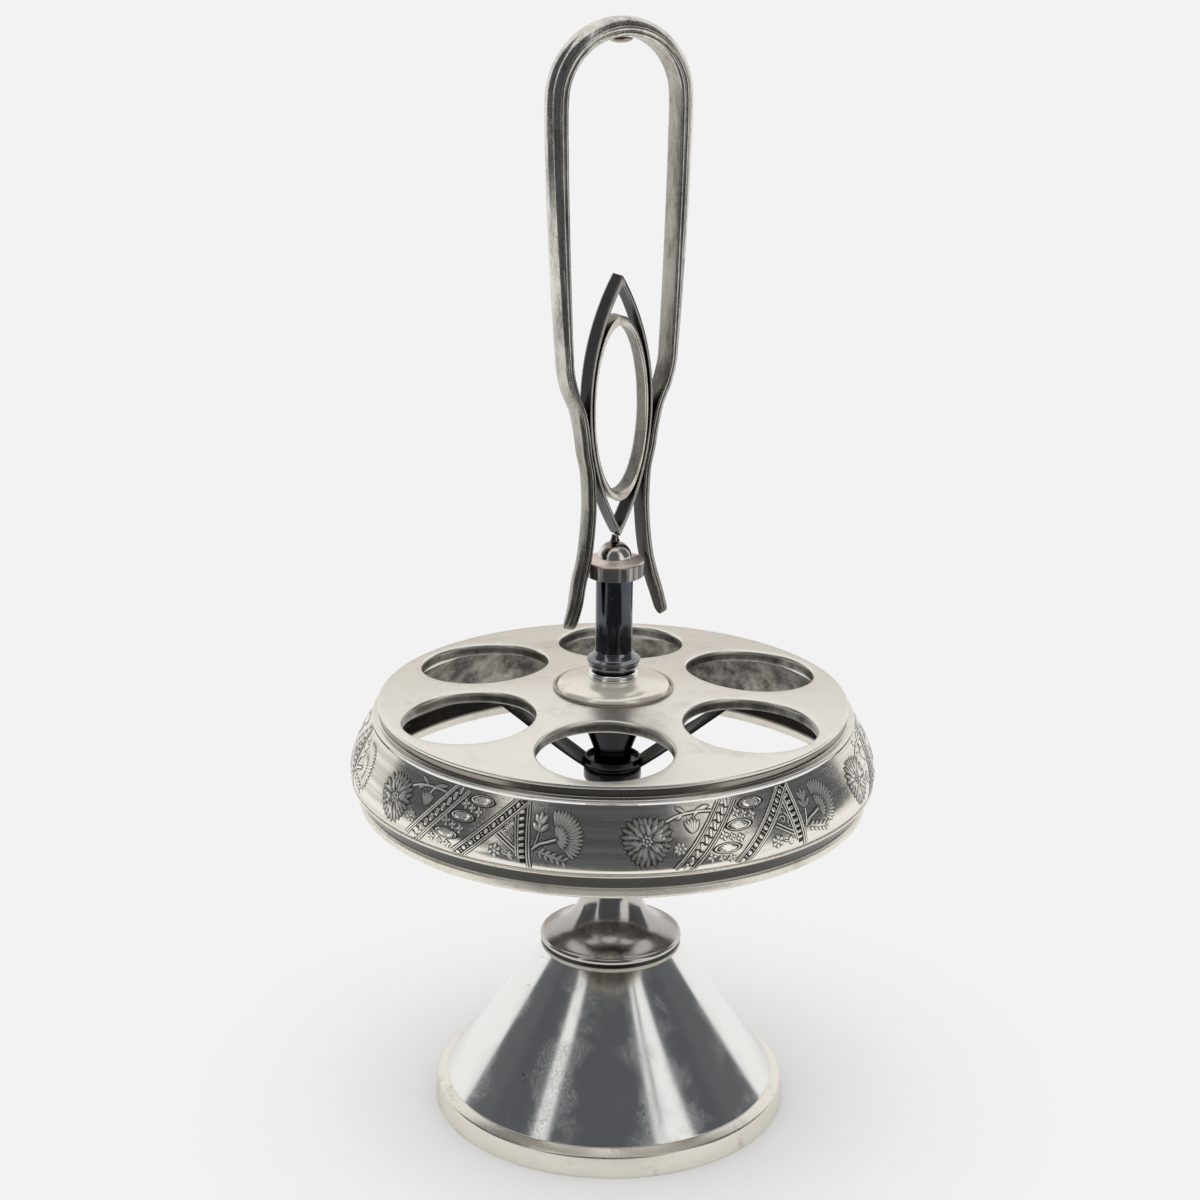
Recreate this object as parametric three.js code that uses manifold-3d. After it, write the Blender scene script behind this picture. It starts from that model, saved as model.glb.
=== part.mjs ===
// Revolving cruet stand: a pedestal and a tall loop handle held together by one tie rod, with a tray
// for six bottles turning between them. Millimetres, +Z up, origin on the ground under the axis.
import * as THREE from 'three';
import { mergeVertices } from 'three/addons/utils/BufferGeometryUtils.js';
import Module from 'manifold-3d';

const wasm = await Module();
wasm.setup();

// Clearances
const SEAT_GAP = 0.3; // between pieces soldered or pressed on curved faces
const RUN_GAP = 0.3; // between the turning tray and what it turns on
const ROD_GAP = 0.3; // round the tie rod

// Foot
const FOOT_R = 67.2; // where the ring stands
const FOOT_SHOULDER_R = 66.0; // top of the ring's tall outer face
const FOOT_SHOULDER_Z = 7.8;
const FOOT_INNER_R = 58.2;
const FOOT_FLOOR_T = 2.2; // height of the ring's inner face
const CONE_BASE_R = 62.5;
const CONE_BASE_Z = 9.7;
const CONE_TOP_R = 25.9;
const CONE_TOP_Z = 62.0;
const CONE_WALL = 1.2;

// Pedestal
const COLLAR_R = 26.6;
const COLLAR_H = 3.0;
const COLLAR_BORE = 21.0;
const COLLAR_DRAFT = 0.3; // how much the collar's top is smaller than its foot
const BEAD_R = 1.35; // the stem's edge rolls over above the collar
const STEM_EDGE_R = 26.75;
const STEM_WALL = 1.1;
const STEM_TOP_R = 10.2;
const STEM_WAIST_R = 9.8;
const STEM_WAIST_Z = 100.0;
const HEAD_R = 10.7;
const HEAD_Z = 129.6;
const HEAD_H = 4.4;
const THRUST_WASHER_R = 9.4;
const THRUST_WASHER_T = 0.8;
const SLEEVE_R = 5.2;
const RETAINING_WASHER_R = 7.8;
const RETAINING_WASHER_T = 1.0;

// Tie rod and its nut under the foot
const ROD_R = 3.0;
const ROD_BELOW_NUT = 4.0;
const BASE_WASHER_R = 11.0;
const BASE_WASHER_T = 1.6;
const BASE_NUT_FLATS = 13.0;
const BASE_NUT_H = 6.2;

// Tray
const TRAY_TURN = -2.6; // degrees that the tray stands away from the front
const PLATE_R = 86.3;
const PLATE_Z = 161.0; // top of the plate at its edge
const PLATE_SLOPE = 0.065; // the plate rises this much per mm towards the middle
const PLATE_T = 1.4;
const PLATE_BORE = 15.2;
const HOLE_COUNT = 6;
const HOLE_R = 24.0;
const HOLE_RING_R = 58.0; // from the axis to a hole's centre
const FLANGE_DEPTH = 4.4; // how far a hole's edge is drawn down
const FLANGE_T = 1.1;
const MOUTH_ROUND = 1.0; // rounding where the plate turns down into a hole
const LEDGE_DROP = 4.2; // from the plate's edge down to the ledge
const LEDGE_R = 88.7;
const LEDGE_NECK_R = 85.9;
const LEDGE_H = 1.3;
const SKIRT_WALL = 1.2;
const SKIRT_R = 96.5; // at its foot, just above the rim
const SKIRT_FOOT_Z = 133.6;
const SKIRT_BULGE = 2.2; // how far the skirt swells beyond a straight flare
const RIM_BEAD_R = 0.75;
const RIM_LIP_INSET = 2.7; // the lip's outer face, inside the skirt's foot
const RIM_LIP_H = 3.1;
const RIM_Z = 123.2; // lowest edge of the tray
const RIM_WALL = 1.5;

// Dome in the middle of the plate
const DOME_R = 21.0;
const DOME_TOP_R = 9.4;
const DOME_RISE = 3.8;
const DOME_WALL = 1.0;
const DOME_BEAD_R = 0.5;
const COLLAR_RING_R = 9.2;
const COLLAR_RING_H = 2.6;

// Hub under the plate
const HUB_BORE = 5.6;
const HUB_R = 6.9;
const HUB_FLARE_R = 18.4;
const SEAT_R = 10.4;
const SEAT_T = 1.6;
const SEAT_LIP_H = 1.6;
const SEAT_LIP_T = 0.9;
const STRAP_T = 1.1;
const STRAP_ROOT_W = 12.6;
const STRAP_WAIST_W = 14.2;
const STRAP_TIP_W = 6.4;
const STRAP_REACH = 49.0; // from the axis to the end of an arm
const STRAP_TAB = 4.0; // flat end of an arm, under the plate

// Column
const COLUMN_FOOT_R = 9.9;
const COLUMN_FOOT_H = 6.5;
const COLUMN_R = 6.75;
const COLUMN_WALL = 1.2;
const COLUMN_TOP_Z = 208.1;
const CAP_R = 10.9;
const CAP_H = 6.0;
const CAP_RISE = 1.2; // height of the cap's slightly coned top
const NUT_R = 6.1;
const NUT_H = 5.5;

// Handle
const HANDLE_TURN = 32.0; // degrees from the tray's left and right line
const GRIP_W = 9.8; // the band over the top
const GRIP_T = 4.0;
const GRIP_CROWN = 2.4; // how far the outer face swells
const LEG_W = 7.4; // the band below the shoulders
const LEG_T = 2.4;
const LEG_CROWN = 1.2;
const REED_DEPTH = 0.4; // groove between the two reeds on each edge
const LOOP_R = 24.5; // middle of the band at the sides of the round top
const LOOP_RISE = 23.1; // and above the round top's centre
const LOOP_Z = 377.7; // centre of the round top
const SHOULDER_S = 21.0; // middle of the band at the shoulder, from the axis
const SHOULDER_Z = 285.0;
const NARROW_S = 11.0; // middle of the band where the legs are closest
const NARROW_Z = 234.0;
const TIP_LEFT_S = 19.1; // middle of the band at the left leg's tip
const TIP_RIGHT_S = 20.6; // the right leg is splayed a little further
const TIP_Z = 190.6;
const TIP_ROUND = 3.0; // rounding of a leg's end
const PIP_R = 4.4;
const PIP_H = 2.2;
const VESICA_HALF_W = 13.1;
const VESICA_Z = 271.5; // where the pointed frame is widest
const VESICA_ABOVE = 46.1; // from there to its upper point
const VESICA_BELOW = 47.9; // and to its lower point
const VESICA_T = 1.1;
const VESICA_POINT_T = 3.2; // thickness at the two points
const VESICA_DEPTH = 7.2;
const NECK_R = 1.4;
const OVAL_Z = 270.0;
const OVAL_HALF_H = 33.4;
const OVAL_SIDE_T = 0.95;
const OVAL_END_T = 3.2;
const OVAL_DEPTH = 6.8;

// Facets round a turned piece
const ROUND_LARGE = 40;
const ROUND_MEDIUM = 28;
const ROUND_SMALL = 20;
const HOLE_FACETS = 24;
const BOW_STEPS = 50;

// Heights that follow from the sizes above
const collarTop = CONE_TOP_Z + COLLAR_H;
const headTop = HEAD_Z + HEAD_H;
const washerTop = headTop + THRUST_WASHER_T;
const hubFoot = washerTop + RUN_GAP;
const hubFloor = hubFoot + SEAT_T;
const plateTop = (r) => PLATE_Z + PLATE_SLOPE * (PLATE_R - r);
const plateUnder = (r) => plateTop(r) - PLATE_T;
const domeFoot = plateTop(DOME_R) + SEAT_GAP;
const domeTop = domeFoot + DOME_RISE;
const collarRingTop = domeTop + COLLAR_RING_H;
const retainerFoot = collarRingTop + RUN_GAP;
const columnFootZ = retainerFoot + RETAINING_WASHER_T;
const columnTubeZ = columnFootZ + COLUMN_FOOT_H;
const capTop = COLUMN_TOP_Z + CAP_H;
const nutFoot = capTop + CAP_RISE;
const nutTop = nutFoot + NUT_H;
const rodBore = ROD_R + ROD_GAP;
const coneInnerTop = CONE_TOP_Z - CONE_WALL;
const baseNutTop = coneInnerTop - BASE_WASHER_T;

// Finishes
const finish = (color, roughness) => new THREE.MeshStandardMaterial({ color, roughness, metalness: 1 });
const polished = () => finish(0xaeb2b8, 0.12);
const satin = () => finish(0xd9d5cb, 0.34);
const oxidised = () => finish(0x8d8b86, 0.42);
const dark = () => finish(0x4b4b4e, 0.3);
const brass = () => finish(0xa98f5c, 0.4);
const iron = () => finish(0x5a5652, 0.6);

// One closed mesh: shared vertices merged, slivers dropped
function closed(geometry) {
  const bare = geometry.clone();
  bare.deleteAttribute('normal');
  bare.deleteAttribute('uv');
  const merged = mergeVertices(bare, 1e-4);
  const kept = [];
  const index = merged.index.array;
  for (let i = 0; i < index.length; i += 3) {
    const [a, b, c] = [index[i], index[i + 1], index[i + 2]];
    if (a !== b && b !== c && c !== a) kept.push(a, b, c);
  }
  merged.setIndex(kept);
  return merged;
}

function toSolid(geometry) {
  const mesh = closed(geometry);
  return new wasm.Manifold(
    new wasm.Mesh({
      numProp: 3,
      vertProperties: new Float32Array(mesh.attributes.position.array),
      triVerts: new Uint32Array(mesh.index.array),
    }),
  );
}

function toGeometry(solid) {
  const mesh = solid.getMesh();
  const geometry = new THREE.BufferGeometry();
  const points = new Float32Array(mesh.vertProperties);
  geometry.setAttribute('position', new THREE.BufferAttribute(points, 3));
  geometry.setIndex(Array.from(mesh.triVerts));
  return geometry;
}

function piece(name, geometry, material) {
  geometry.computeVertexNormals();
  const mesh = new THREE.Mesh(geometry, material);
  mesh.name = name;
  return mesh;
}

// Revolves a closed outline of [radius, height] points about the upright axis
function revolve(outline, facets) {
  const area = outline.reduce((sum, [r, z], i) => {
    const [r2, z2] = outline[(i + 1) % outline.length];
    return sum + r * z2 - r2 * z;
  }, 0);
  const points = area > 0 ? [...outline] : [...outline].reverse();
  const touchesAxis = points.some(([r]) => r === 0);
  if (touchesAxis) {
    while (points[0][0] !== 0 || points[points.length - 1][0] !== 0) points.push(points.shift());
  } else {
    points.push(points[0]);
  }
  const lathe = new THREE.LatheGeometry(points.map(([r, z]) => new THREE.Vector2(r, z)), facets);
  lathe.rotateX(Math.PI / 2);
  return closed(lathe);
}

// Points of a round stretch of an outline, angles in degrees from the outward direction
function arc(centreR, centreZ, radius, fromDeg, toDeg, steps) {
  return Array.from({ length: steps + 1 }, (_, i) => {
    const a = THREE.MathUtils.degToRad(fromDeg + ((toDeg - fromDeg) * i) / steps);
    return [centreR + radius * Math.cos(a), centreZ + radius * Math.sin(a)];
  });
}

// Points along a smooth curve through the given ones
function smooth(points, steps) {
  const curve = new THREE.SplineCurve(points.map(([r, z]) => new THREE.Vector2(r, z)));
  return curve.getPoints(steps).map((p) => [p.x, p.y]);
}

// A turned shell: the outer curve, and the same curve moved in by the wall
function shell(outer, wall) {
  const inner = outer.map(([r, z], i) => {
    const [r0, z0] = outer[Math.max(i - 1, 0)];
    const [r1, z1] = outer[Math.min(i + 1, outer.length - 1)];
    const along = Math.hypot(r1 - r0, z1 - z0);
    return [r - (wall * (z1 - z0)) / along, z + (wall * (r1 - r0)) / along];
  });
  inner[0][1] = outer[0][1];
  inner[inner.length - 1][1] = outer[outer.length - 1][1];
  return [...outer, ...inner.reverse()];
}

function washer(outerR, bore, footZ, thickness, facets) {
  const topZ = footZ + thickness;
  return revolve([[bore, footZ], [outerR, footZ], [outerR, topZ], [bore, topZ]], facets);
}

// Foot: a heavy ring and an open cone standing on it
function footRing() {
  const seatInner = CONE_BASE_R - CONE_WALL * 2;
  return revolve([
    [FOOT_INNER_R, 0],
    [FOOT_R, 0],
    [FOOT_SHOULDER_R, FOOT_SHOULDER_Z],
    [CONE_BASE_R, CONE_BASE_Z],
    [seatInner, CONE_BASE_Z],
    [FOOT_INNER_R, FOOT_FLOOR_T],
  ], ROUND_LARGE);
}

function footCone() {
  const run = CONE_BASE_R - CONE_TOP_R;
  const rise = CONE_TOP_Z - CONE_BASE_Z;
  const wallAcross = (CONE_WALL * Math.hypot(run, rise)) / rise;
  const innerAt = (z) => CONE_BASE_R - (run * (z - CONE_BASE_Z)) / rise - wallAcross;
  return revolve([
    [innerAt(CONE_BASE_Z), CONE_BASE_Z],
    [CONE_BASE_R, CONE_BASE_Z],
    [CONE_TOP_R, CONE_TOP_Z],
    [rodBore, CONE_TOP_Z],
    [rodBore, coneInnerTop],
    [innerAt(coneInnerTop), coneInnerTop],
  ], ROUND_LARGE);
}

// Pedestal: a flat collar, and a stem that flares to a bead above it
function collarRing() {
  return revolve([
    [COLLAR_BORE, CONE_TOP_Z],
    [COLLAR_R, CONE_TOP_Z],
    [COLLAR_R - COLLAR_DRAFT, collarTop],
    [COLLAR_BORE, collarTop],
  ], ROUND_MEDIUM);
}

function pedestalTrumpet() {
  const rollZ = collarTop + BEAD_R * 0.7;
  const rollCentreR = STEM_EDGE_R - BEAD_R;
  const roll = arc(rollCentreR, rollZ, BEAD_R, -40, 80, 4);
  const flare = smooth([
    [STEM_EDGE_R - 2.5, rollZ + 1.7],
    [STEM_EDGE_R - 5.0, rollZ + 2.7],
    [STEM_EDGE_R - 8.2, rollZ + 4.6],
    [STEM_EDGE_R - 11.3, rollZ + 7.7],
    [STEM_EDGE_R - 13.8, rollZ + 11.5],
    [STEM_EDGE_R - 15.6, rollZ + 16.7],
    [STEM_WAIST_R + 0.1, rollZ + 26.5],
    [STEM_WAIST_R, STEM_WAIST_Z + 6],
    [STEM_TOP_R, HEAD_Z],
  ], 11);
  const outer = [...roll, ...flare];
  const walls = shell(outer, STEM_WALL);
  const foot = [[rollCentreR - STEM_WALL * 0.6, collarTop], [rollCentreR + BEAD_R * 0.5, collarTop]];
  return revolve([...walls, ...foot], ROUND_MEDIUM);
}

function pedestalHead() {
  const round = 0.9;
  return revolve([
    [rodBore, HEAD_Z],
    ...arc(HEAD_R - round, HEAD_Z + round, round, -90, 0, 2),
    ...arc(HEAD_R - round, headTop - round, round, 0, 90, 2),
    [rodBore, headTop],
  ], ROUND_SMALL);
}

// Column, cap and nut above the tray
function columnFoot() {
  const topR = COLUMN_R + 0.35;
  const lowBead = COLUMN_FOOT_R - 0.5;
  return revolve([
    [rodBore, columnFootZ],
    [lowBead - 1.0, columnFootZ],
    ...arc(lowBead - 0.6, columnFootZ + 1.3, 0.6, -60, 70, 3),
    [lowBead - 0.4, columnFootZ + 2.2],
    [COLUMN_FOOT_R, columnFootZ + 2.7],
    [COLUMN_FOOT_R, columnFootZ + 3.3],
    ...smooth([
      [COLUMN_FOOT_R - 1.2, columnFootZ + 3.9],
      [COLUMN_R + 0.9, columnFootZ + 4.9],
      [topR, columnTubeZ],
    ], 3),
    [rodBore, columnTubeZ],
  ], ROUND_SMALL);
}

function columnTube() {
  return washer(COLUMN_R, COLUMN_R - COLUMN_WALL, columnTubeZ, COLUMN_TOP_Z - columnTubeZ, ROUND_SMALL);
}

function capDisc() {
  const edge = 0.4;
  return revolve([
    [rodBore, COLUMN_TOP_Z],
    [CAP_R - edge * 2, COLUMN_TOP_Z],
    [CAP_R - edge, COLUMN_TOP_Z + edge],
    [CAP_R, capTop - edge],
    [CAP_R - edge, capTop],
    [NUT_R + edge, nutFoot],
    [rodBore, nutFoot],
  ], ROUND_MEDIUM);
}

function domeNut() {
  const boreTop = nutFoot + NUT_H * 0.6;
  const crown = Array.from({ length: 6 }, (_, i) => {
    const a = (Math.PI / 2) * (i / 6);
    return [NUT_R * Math.cos(a), nutFoot + NUT_H * Math.sin(a)];
  });
  return revolve([
    [0, boreTop],
    [rodBore, boreTop],
    [rodBore, nutFoot],
    ...crown,
    [0, nutTop],
  ], ROUND_SMALL);
}

// Tie rod: from below the foot's nut to inside the dome nut
function tieRod() {
  const foot = baseNutTop - BASE_NUT_H - ROD_BELOW_NUT;
  const top = nutFoot + NUT_H * 0.6 - ROD_GAP;
  return revolve([[0, foot], [ROD_R, foot], [ROD_R, top], [0, top]], 20);
}

function baseWasher() {
  return washer(BASE_WASHER_R, rodBore, baseNutTop, BASE_WASHER_T, 24);
}

function baseNut() {
  const corner = BASE_NUT_FLATS / Math.sqrt(3);
  const outline = new THREE.Shape();
  for (let i = 0; i < 6; i += 1) {
    const a = (Math.PI / 3) * i;
    if (i === 0) outline.moveTo(corner * Math.cos(a), corner * Math.sin(a));
    else outline.lineTo(corner * Math.cos(a), corner * Math.sin(a));
  }
  outline.closePath();
  const hole = new THREE.Path();
  hole.absarc(0, 0, rodBore, 0, Math.PI * 2, true);
  outline.holes.push(hole);
  const nut = new THREE.ExtrudeGeometry(outline, { depth: BASE_NUT_H, bevelEnabled: false, curveSegments: 20 });
  nut.translate(0, 0, baseNutTop - BASE_NUT_H);
  return closed(nut);
}

// Half-width of a pointed oval at a height: an arc that is widest at VESICA_Z
function pointedHalfWidth(z, halfW, above, below) {
  const halfH = z > VESICA_Z ? above : below;
  const radius = (halfW * halfW + halfH * halfH) / (2 * halfW);
  return Math.sqrt(radius * radius - (z - VESICA_Z) ** 2) - radius + halfW;
}

// Handle: one band bent over the top, in at the shoulders, along the pointed frame, out to two tips
const handlePath = (() => {
  const onFrame = (z) => {
    const frame = pointedHalfWidth(z, VESICA_HALF_W, VESICA_ABOVE, VESICA_BELOW);
    return [frame + SEAT_GAP + (LEG_T / 2) * 1.02, z];
  };
  const halfTo = (tipS) => {
    const half = [];
    for (let i = 1; i <= 6; i += 1) {
      const a = (Math.PI / 2) * (i / 6);
      half.push([LOOP_R * Math.sin(a), LOOP_Z + LOOP_RISE * Math.cos(a)]);
    }
    half.push([LOOP_R - 0.15, LOOP_Z - 20]);
    half.push([LOOP_R - 0.85, LOOP_Z - 42]);
    half.push([SHOULDER_S + 1.5, SHOULDER_Z + 24]);
    half.push([SHOULDER_S + 0.55, SHOULDER_Z + 7]);
    half.push([SHOULDER_S, SHOULDER_Z]);
    half.push([SHOULDER_S - 1.9, SHOULDER_Z - 7]);
    half.push([SHOULDER_S - 5.0, SHOULDER_Z - 14.5]);
    for (const share of [0.2, 0.345, 0.49]) half.push(onFrame(VESICA_Z - VESICA_BELOW * share));
    half.push([NARROW_S + 0.1, NARROW_Z + 6]);
    half.push([NARROW_S, NARROW_Z]);
    half.push([NARROW_S + 0.5, NARROW_Z - 7.5]);
    half.push([NARROW_S + 1.3, NARROW_Z - 14.5]);
    half.push([NARROW_S + 2.4, NARROW_Z - 20.5]);
    half.push([NARROW_S + 3.9, COLUMN_TOP_Z]);
    half.push([tipS - 2.4, TIP_Z + 7.6]);
    half.push([tipS, TIP_Z]);
    return half;
  };
  const right = halfTo(TIP_RIGHT_S).map(([s, z]) => new THREE.Vector3(s, 0, z)).reverse();
  const top = new THREE.Vector3(0, 0, LOOP_Z + LOOP_RISE);
  const left = halfTo(TIP_LEFT_S).map(([s, z]) => new THREE.Vector3(-s, 0, z));
  return new THREE.CatmullRomCurve3([...right, top, ...left], false, 'centripetal');
})();

// The band's width, edge thickness and crown at a height, and near a tip
function bandSize(z, fromTip) {
  const u = THREE.MathUtils.clamp((z - SHOULDER_Z - 3) / (LOOP_Z + LOOP_RISE - SHOULDER_Z - 3), 0, 1);
  const grip = 1 - (1 - u) ** 2;
  const leg = THREE.MathUtils.smoothstep(z, NARROW_Z + 4, SHOULDER_Z + 5);
  let halfW = (LEG_W + (GRIP_W - LEG_W) * leg) / 2;
  if (fromTip < TIP_ROUND) halfW = Math.sqrt(TIP_ROUND ** 2 - (TIP_ROUND - fromTip) ** 2);
  else if (fromTip < TIP_ROUND + 9) halfW = TIP_ROUND + ((halfW - TIP_ROUND) * (fromTip - TIP_ROUND)) / 9;
  return { halfW, halfT: (LEG_T + (GRIP_T - LEG_T) * grip) / 2, crown: LEG_CROWN + (GRIP_CROWN - LEG_CROWN) * grip };
}

// Its section: flat inside, crowned outside, with two reeds along each edge
function bandSection({ halfW, halfT, crown }) {
  const side = (sign) => [
    [sign * (halfW * 0.9), -halfT],
    [sign * halfW, -halfT * 0.6],
    [sign * (halfW - Math.min(REED_DEPTH, halfW * 0.2)), 0],
    [sign * halfW, halfT * 0.6],
    [sign * (halfW * 0.93), halfT],
  ];
  const over = [0.7, 0.38, 0, -0.38, -0.7].map((q) => [q * halfW, halfT + crown * Math.sqrt(1 - q * q)]);
  return [...side(1), ...over, ...side(-1).reverse()];
}

function handleBow() {
  const length = handlePath.getLength();
  const nearTip = [0.08, 0.7, 1.6, 2.9];
  const along = [...nearTip];
  for (let i = 1; i < BOW_STEPS; i += 1) along.push((length * i) / BOW_STEPS);
  along.push(...nearTip.map((d) => length - d).reverse());
  const positions = [];
  let size = 0;
  for (const d of along) {
    const p = handlePath.getPointAt(d / length);
    const t = handlePath.getTangentAt(d / length);
    const section = bandSection(bandSize(p.z, Math.min(d, length - d)));
    size = section.length;
    for (const [n, m] of section) positions.push(p.x + t.z * m, n, p.z - t.x * m);
  }
  const rings = along.length;
  const index = [];
  for (let i = 0; i < rings - 1; i += 1) {
    for (let j = 0; j < size; j += 1) {
      const k = (j + 1) % size;
      const [a, b] = [i * size, (i + 1) * size];
      index.push(a + j, b + j, b + k, a + j, b + k, a + k);
    }
  }
  const last = (rings - 1) * size;
  for (let j = 1; j < size - 1; j += 1) {
    index.push(0, j, j + 1);
    index.push(last, last + j + 1, last + j);
  }
  const band = new THREE.BufferGeometry();
  band.setAttribute('position', new THREE.Float32BufferAttribute(positions, 3));
  band.setIndex(index);
  return band;
}

function pointedOval(halfW, above, below) {
  const steps = 12;
  const points = [];
  for (let i = 0; i < steps * 2; i += 1) {
    const side = i < steps ? 1 : -1;
    const t = (i % steps) / steps;
    const upward = side > 0 ? t : 1 - t;
    const z = VESICA_Z - below + (above + below) * upward;
    points.push([side * pointedHalfWidth(z, halfW, above, below), z]);
  }
  return points;
}

// A flat frame in the handle's plane, from its outer and inner outlines
function frameOf(outer, inner, depth) {
  const shape = new THREE.Shape(outer.map(([s, z]) => new THREE.Vector2(s, z)));
  shape.holes.push(new THREE.Path(inner.map(([s, z]) => new THREE.Vector2(s, z))));
  const frame = new THREE.ExtrudeGeometry(shape, { depth, bevelEnabled: false });
  frame.translate(0, 0, -depth / 2);
  frame.rotateX(Math.PI / 2);
  return frame;
}

const openHalfW = VESICA_HALF_W - VESICA_T;
const openAbove = VESICA_ABOVE - VESICA_POINT_T;
const openBelow = VESICA_BELOW - VESICA_POINT_T;

function handleVesica() {
  const outer = pointedOval(VESICA_HALF_W, VESICA_ABOVE, VESICA_BELOW);
  const inner = pointedOval(openHalfW, openAbove, openBelow);
  return closed(frameOf(outer, inner, VESICA_DEPTH));
}

function ellipse(halfW, halfH, steps) {
  return Array.from({ length: steps }, (_, i) => {
    const a = (Math.PI * 2 * i) / steps;
    return [halfW * Math.cos(a), halfH * Math.sin(a)];
  });
}

// The oval ring is as wide as the pointed frame lets it be with the seat's clearance
function ovalHalfWidth() {
  let widest = openHalfW - SEAT_GAP;
  for (let q = -0.9; q <= 0.9; q += 0.05) {
    const open = pointedHalfWidth(OVAL_Z + OVAL_HALF_H * q, openHalfW, openAbove, openBelow);
    widest = Math.min(widest, (open - SEAT_GAP) / Math.sqrt(1 - q * q));
  }
  return widest;
}

function handleOvalRing() {
  const halfW = ovalHalfWidth();
  const lift = ([s, z]) => [s, z + OVAL_Z];
  const outer = ellipse(halfW, OVAL_HALF_H, 40).map(lift);
  const inner = ellipse(halfW - OVAL_SIDE_T, OVAL_HALF_H - OVAL_END_T, 40).map(lift);
  return closed(frameOf(outer, inner, OVAL_DEPTH));
}

function handleNeck() {
  const foot = nutTop + SEAT_GAP;
  const top = VESICA_Z - VESICA_BELOW - SEAT_GAP;
  return revolve([
    [0, foot],
    [NECK_R + 0.5, foot],
    [NECK_R, foot + (top - foot) * 0.3],
    [NECK_R * 0.8, top],
    [0, top],
  ], 14);
}

function handlePip() {
  const top = LOOP_Z + LOOP_RISE - GRIP_T / 2 - SEAT_GAP - 0.1;
  const outline = [[0, top - PIP_H]];
  for (let i = 1; i <= 4; i += 1) {
    const a = (Math.PI / 2) * (i / 4);
    outline.push([PIP_R * Math.sin(a), top - 0.4 - (PIP_H - 0.4) * Math.cos(a)]);
  }
  outline.push([PIP_R * 0.7, top - 0.2], [0, top]);
  return revolve(outline, 16);
}

// Tray plate: a shallow cone of sheet with six drawn-down holes
function holePlaces() {
  const turn = THREE.MathUtils.degToRad(TRAY_TURN);
  return Array.from({ length: HOLE_COUNT }, (_, i) => {
    const azimuth = turn - Math.PI / 2 + (i * Math.PI * 2) / HOLE_COUNT;
    const place = new THREE.Matrix4().makeRotationZ(azimuth);
    place.multiply(new THREE.Matrix4().makeTranslation(HOLE_RING_R, 0, plateTop(HOLE_RING_R)));
    place.multiply(new THREE.Matrix4().makeRotationY(Math.atan(PLATE_SLOPE)));
    return place;
  });
}

function trayPlate() {
  const sheet = revolve([
    [PLATE_BORE, plateUnder(PLATE_BORE)],
    [PLATE_R, plateUnder(PLATE_R)],
    [PLATE_R, PLATE_Z],
    [PLATE_BORE, plateTop(PLATE_BORE)],
  ], ROUND_LARGE);
  const flangeTop = -PLATE_T / 2;
  const flange = revolve([[0, -FLANGE_DEPTH], [HOLE_R + FLANGE_T, -FLANGE_DEPTH],
    [HOLE_R + FLANGE_T, flangeTop], [0, flangeTop]], HOLE_FACETS);
  const mouth = revolve([
    [0, -FLANGE_DEPTH * 2],
    [HOLE_R, -FLANGE_DEPTH * 2],
    [HOLE_R, -MOUTH_ROUND],
    [HOLE_R + MOUTH_ROUND, 0],
    [HOLE_R + MOUTH_ROUND, PLATE_T * 2],
    [0, PLATE_T * 2],
  ], HOLE_FACETS);
  let plate = toSolid(sheet);
  for (const place of holePlaces()) plate = plate.add(toSolid(flange.clone().applyMatrix4(place)));
  for (const place of holePlaces()) plate = plate.subtract(toSolid(mouth.clone().applyMatrix4(place)));
  return toGeometry(plate);
}

// Edge of the tray: stepped ledge, swelling skirt, and a rim with bead, cove and lip
const ledgeTop = plateUnder(PLATE_R) - SEAT_GAP;
const ledgeZ = PLATE_Z - LEDGE_DROP;
const ledgeFoot = ledgeZ - LEDGE_H;

function trayLedge() {
  return revolve([
    [LEDGE_NECK_R - 2.6, ledgeTop],
    [LEDGE_NECK_R, ledgeTop],
    [LEDGE_NECK_R, ledgeZ + 0.6],
    [LEDGE_NECK_R + 0.6, ledgeZ],
    ...arc(LEDGE_R - LEDGE_H / 2, ledgeZ - LEDGE_H / 2, LEDGE_H / 2, 90, -60, 3),
    [LEDGE_R - LEDGE_H, ledgeFoot],
    [LEDGE_NECK_R - 2.6, ledgeFoot],
  ], ROUND_LARGE);
}

function traySkirt() {
  const top = [LEDGE_R, ledgeFoot - SEAT_GAP];
  const foot = [SKIRT_R, SKIRT_FOOT_Z];
  const steps = 6;
  const outer = Array.from({ length: steps + 1 }, (_, i) => {
    const t = i / steps;
    const swell = SKIRT_BULGE * Math.sin(Math.PI * t ** 0.75);
    return [foot[0] + (top[0] - foot[0]) * t + swell, foot[1] + (top[1] - foot[1]) * t];
  });
  return revolve(shell(outer, SKIRT_WALL), ROUND_LARGE);
}

function trayFootRim() {
  const top = SKIRT_FOOT_Z - SEAT_GAP;
  const beadR = SKIRT_R - RIM_BEAD_R;
  const lipR = SKIRT_R - RIM_LIP_INSET;
  const lipTop = RIM_Z + RIM_LIP_H;
  return revolve([
    [beadR - RIM_WALL, top],
    ...arc(beadR, top - RIM_BEAD_R, RIM_BEAD_R, 90, -70, 3),
    [lipR + 1.0, (top + lipTop) / 2 - 0.6],
    [lipR - 0.7, lipTop + 0.5],
    [lipR, lipTop],
    [lipR, RIM_Z + 0.8],
    [lipR - 0.8, RIM_Z],
    [lipR - 0.8 - RIM_WALL / 2, RIM_Z],
    [lipR - 0.7 - RIM_WALL, lipTop],
    [lipR + 0.6 - RIM_WALL, (top + lipTop) / 2],
  ], ROUND_LARGE);
}

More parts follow.
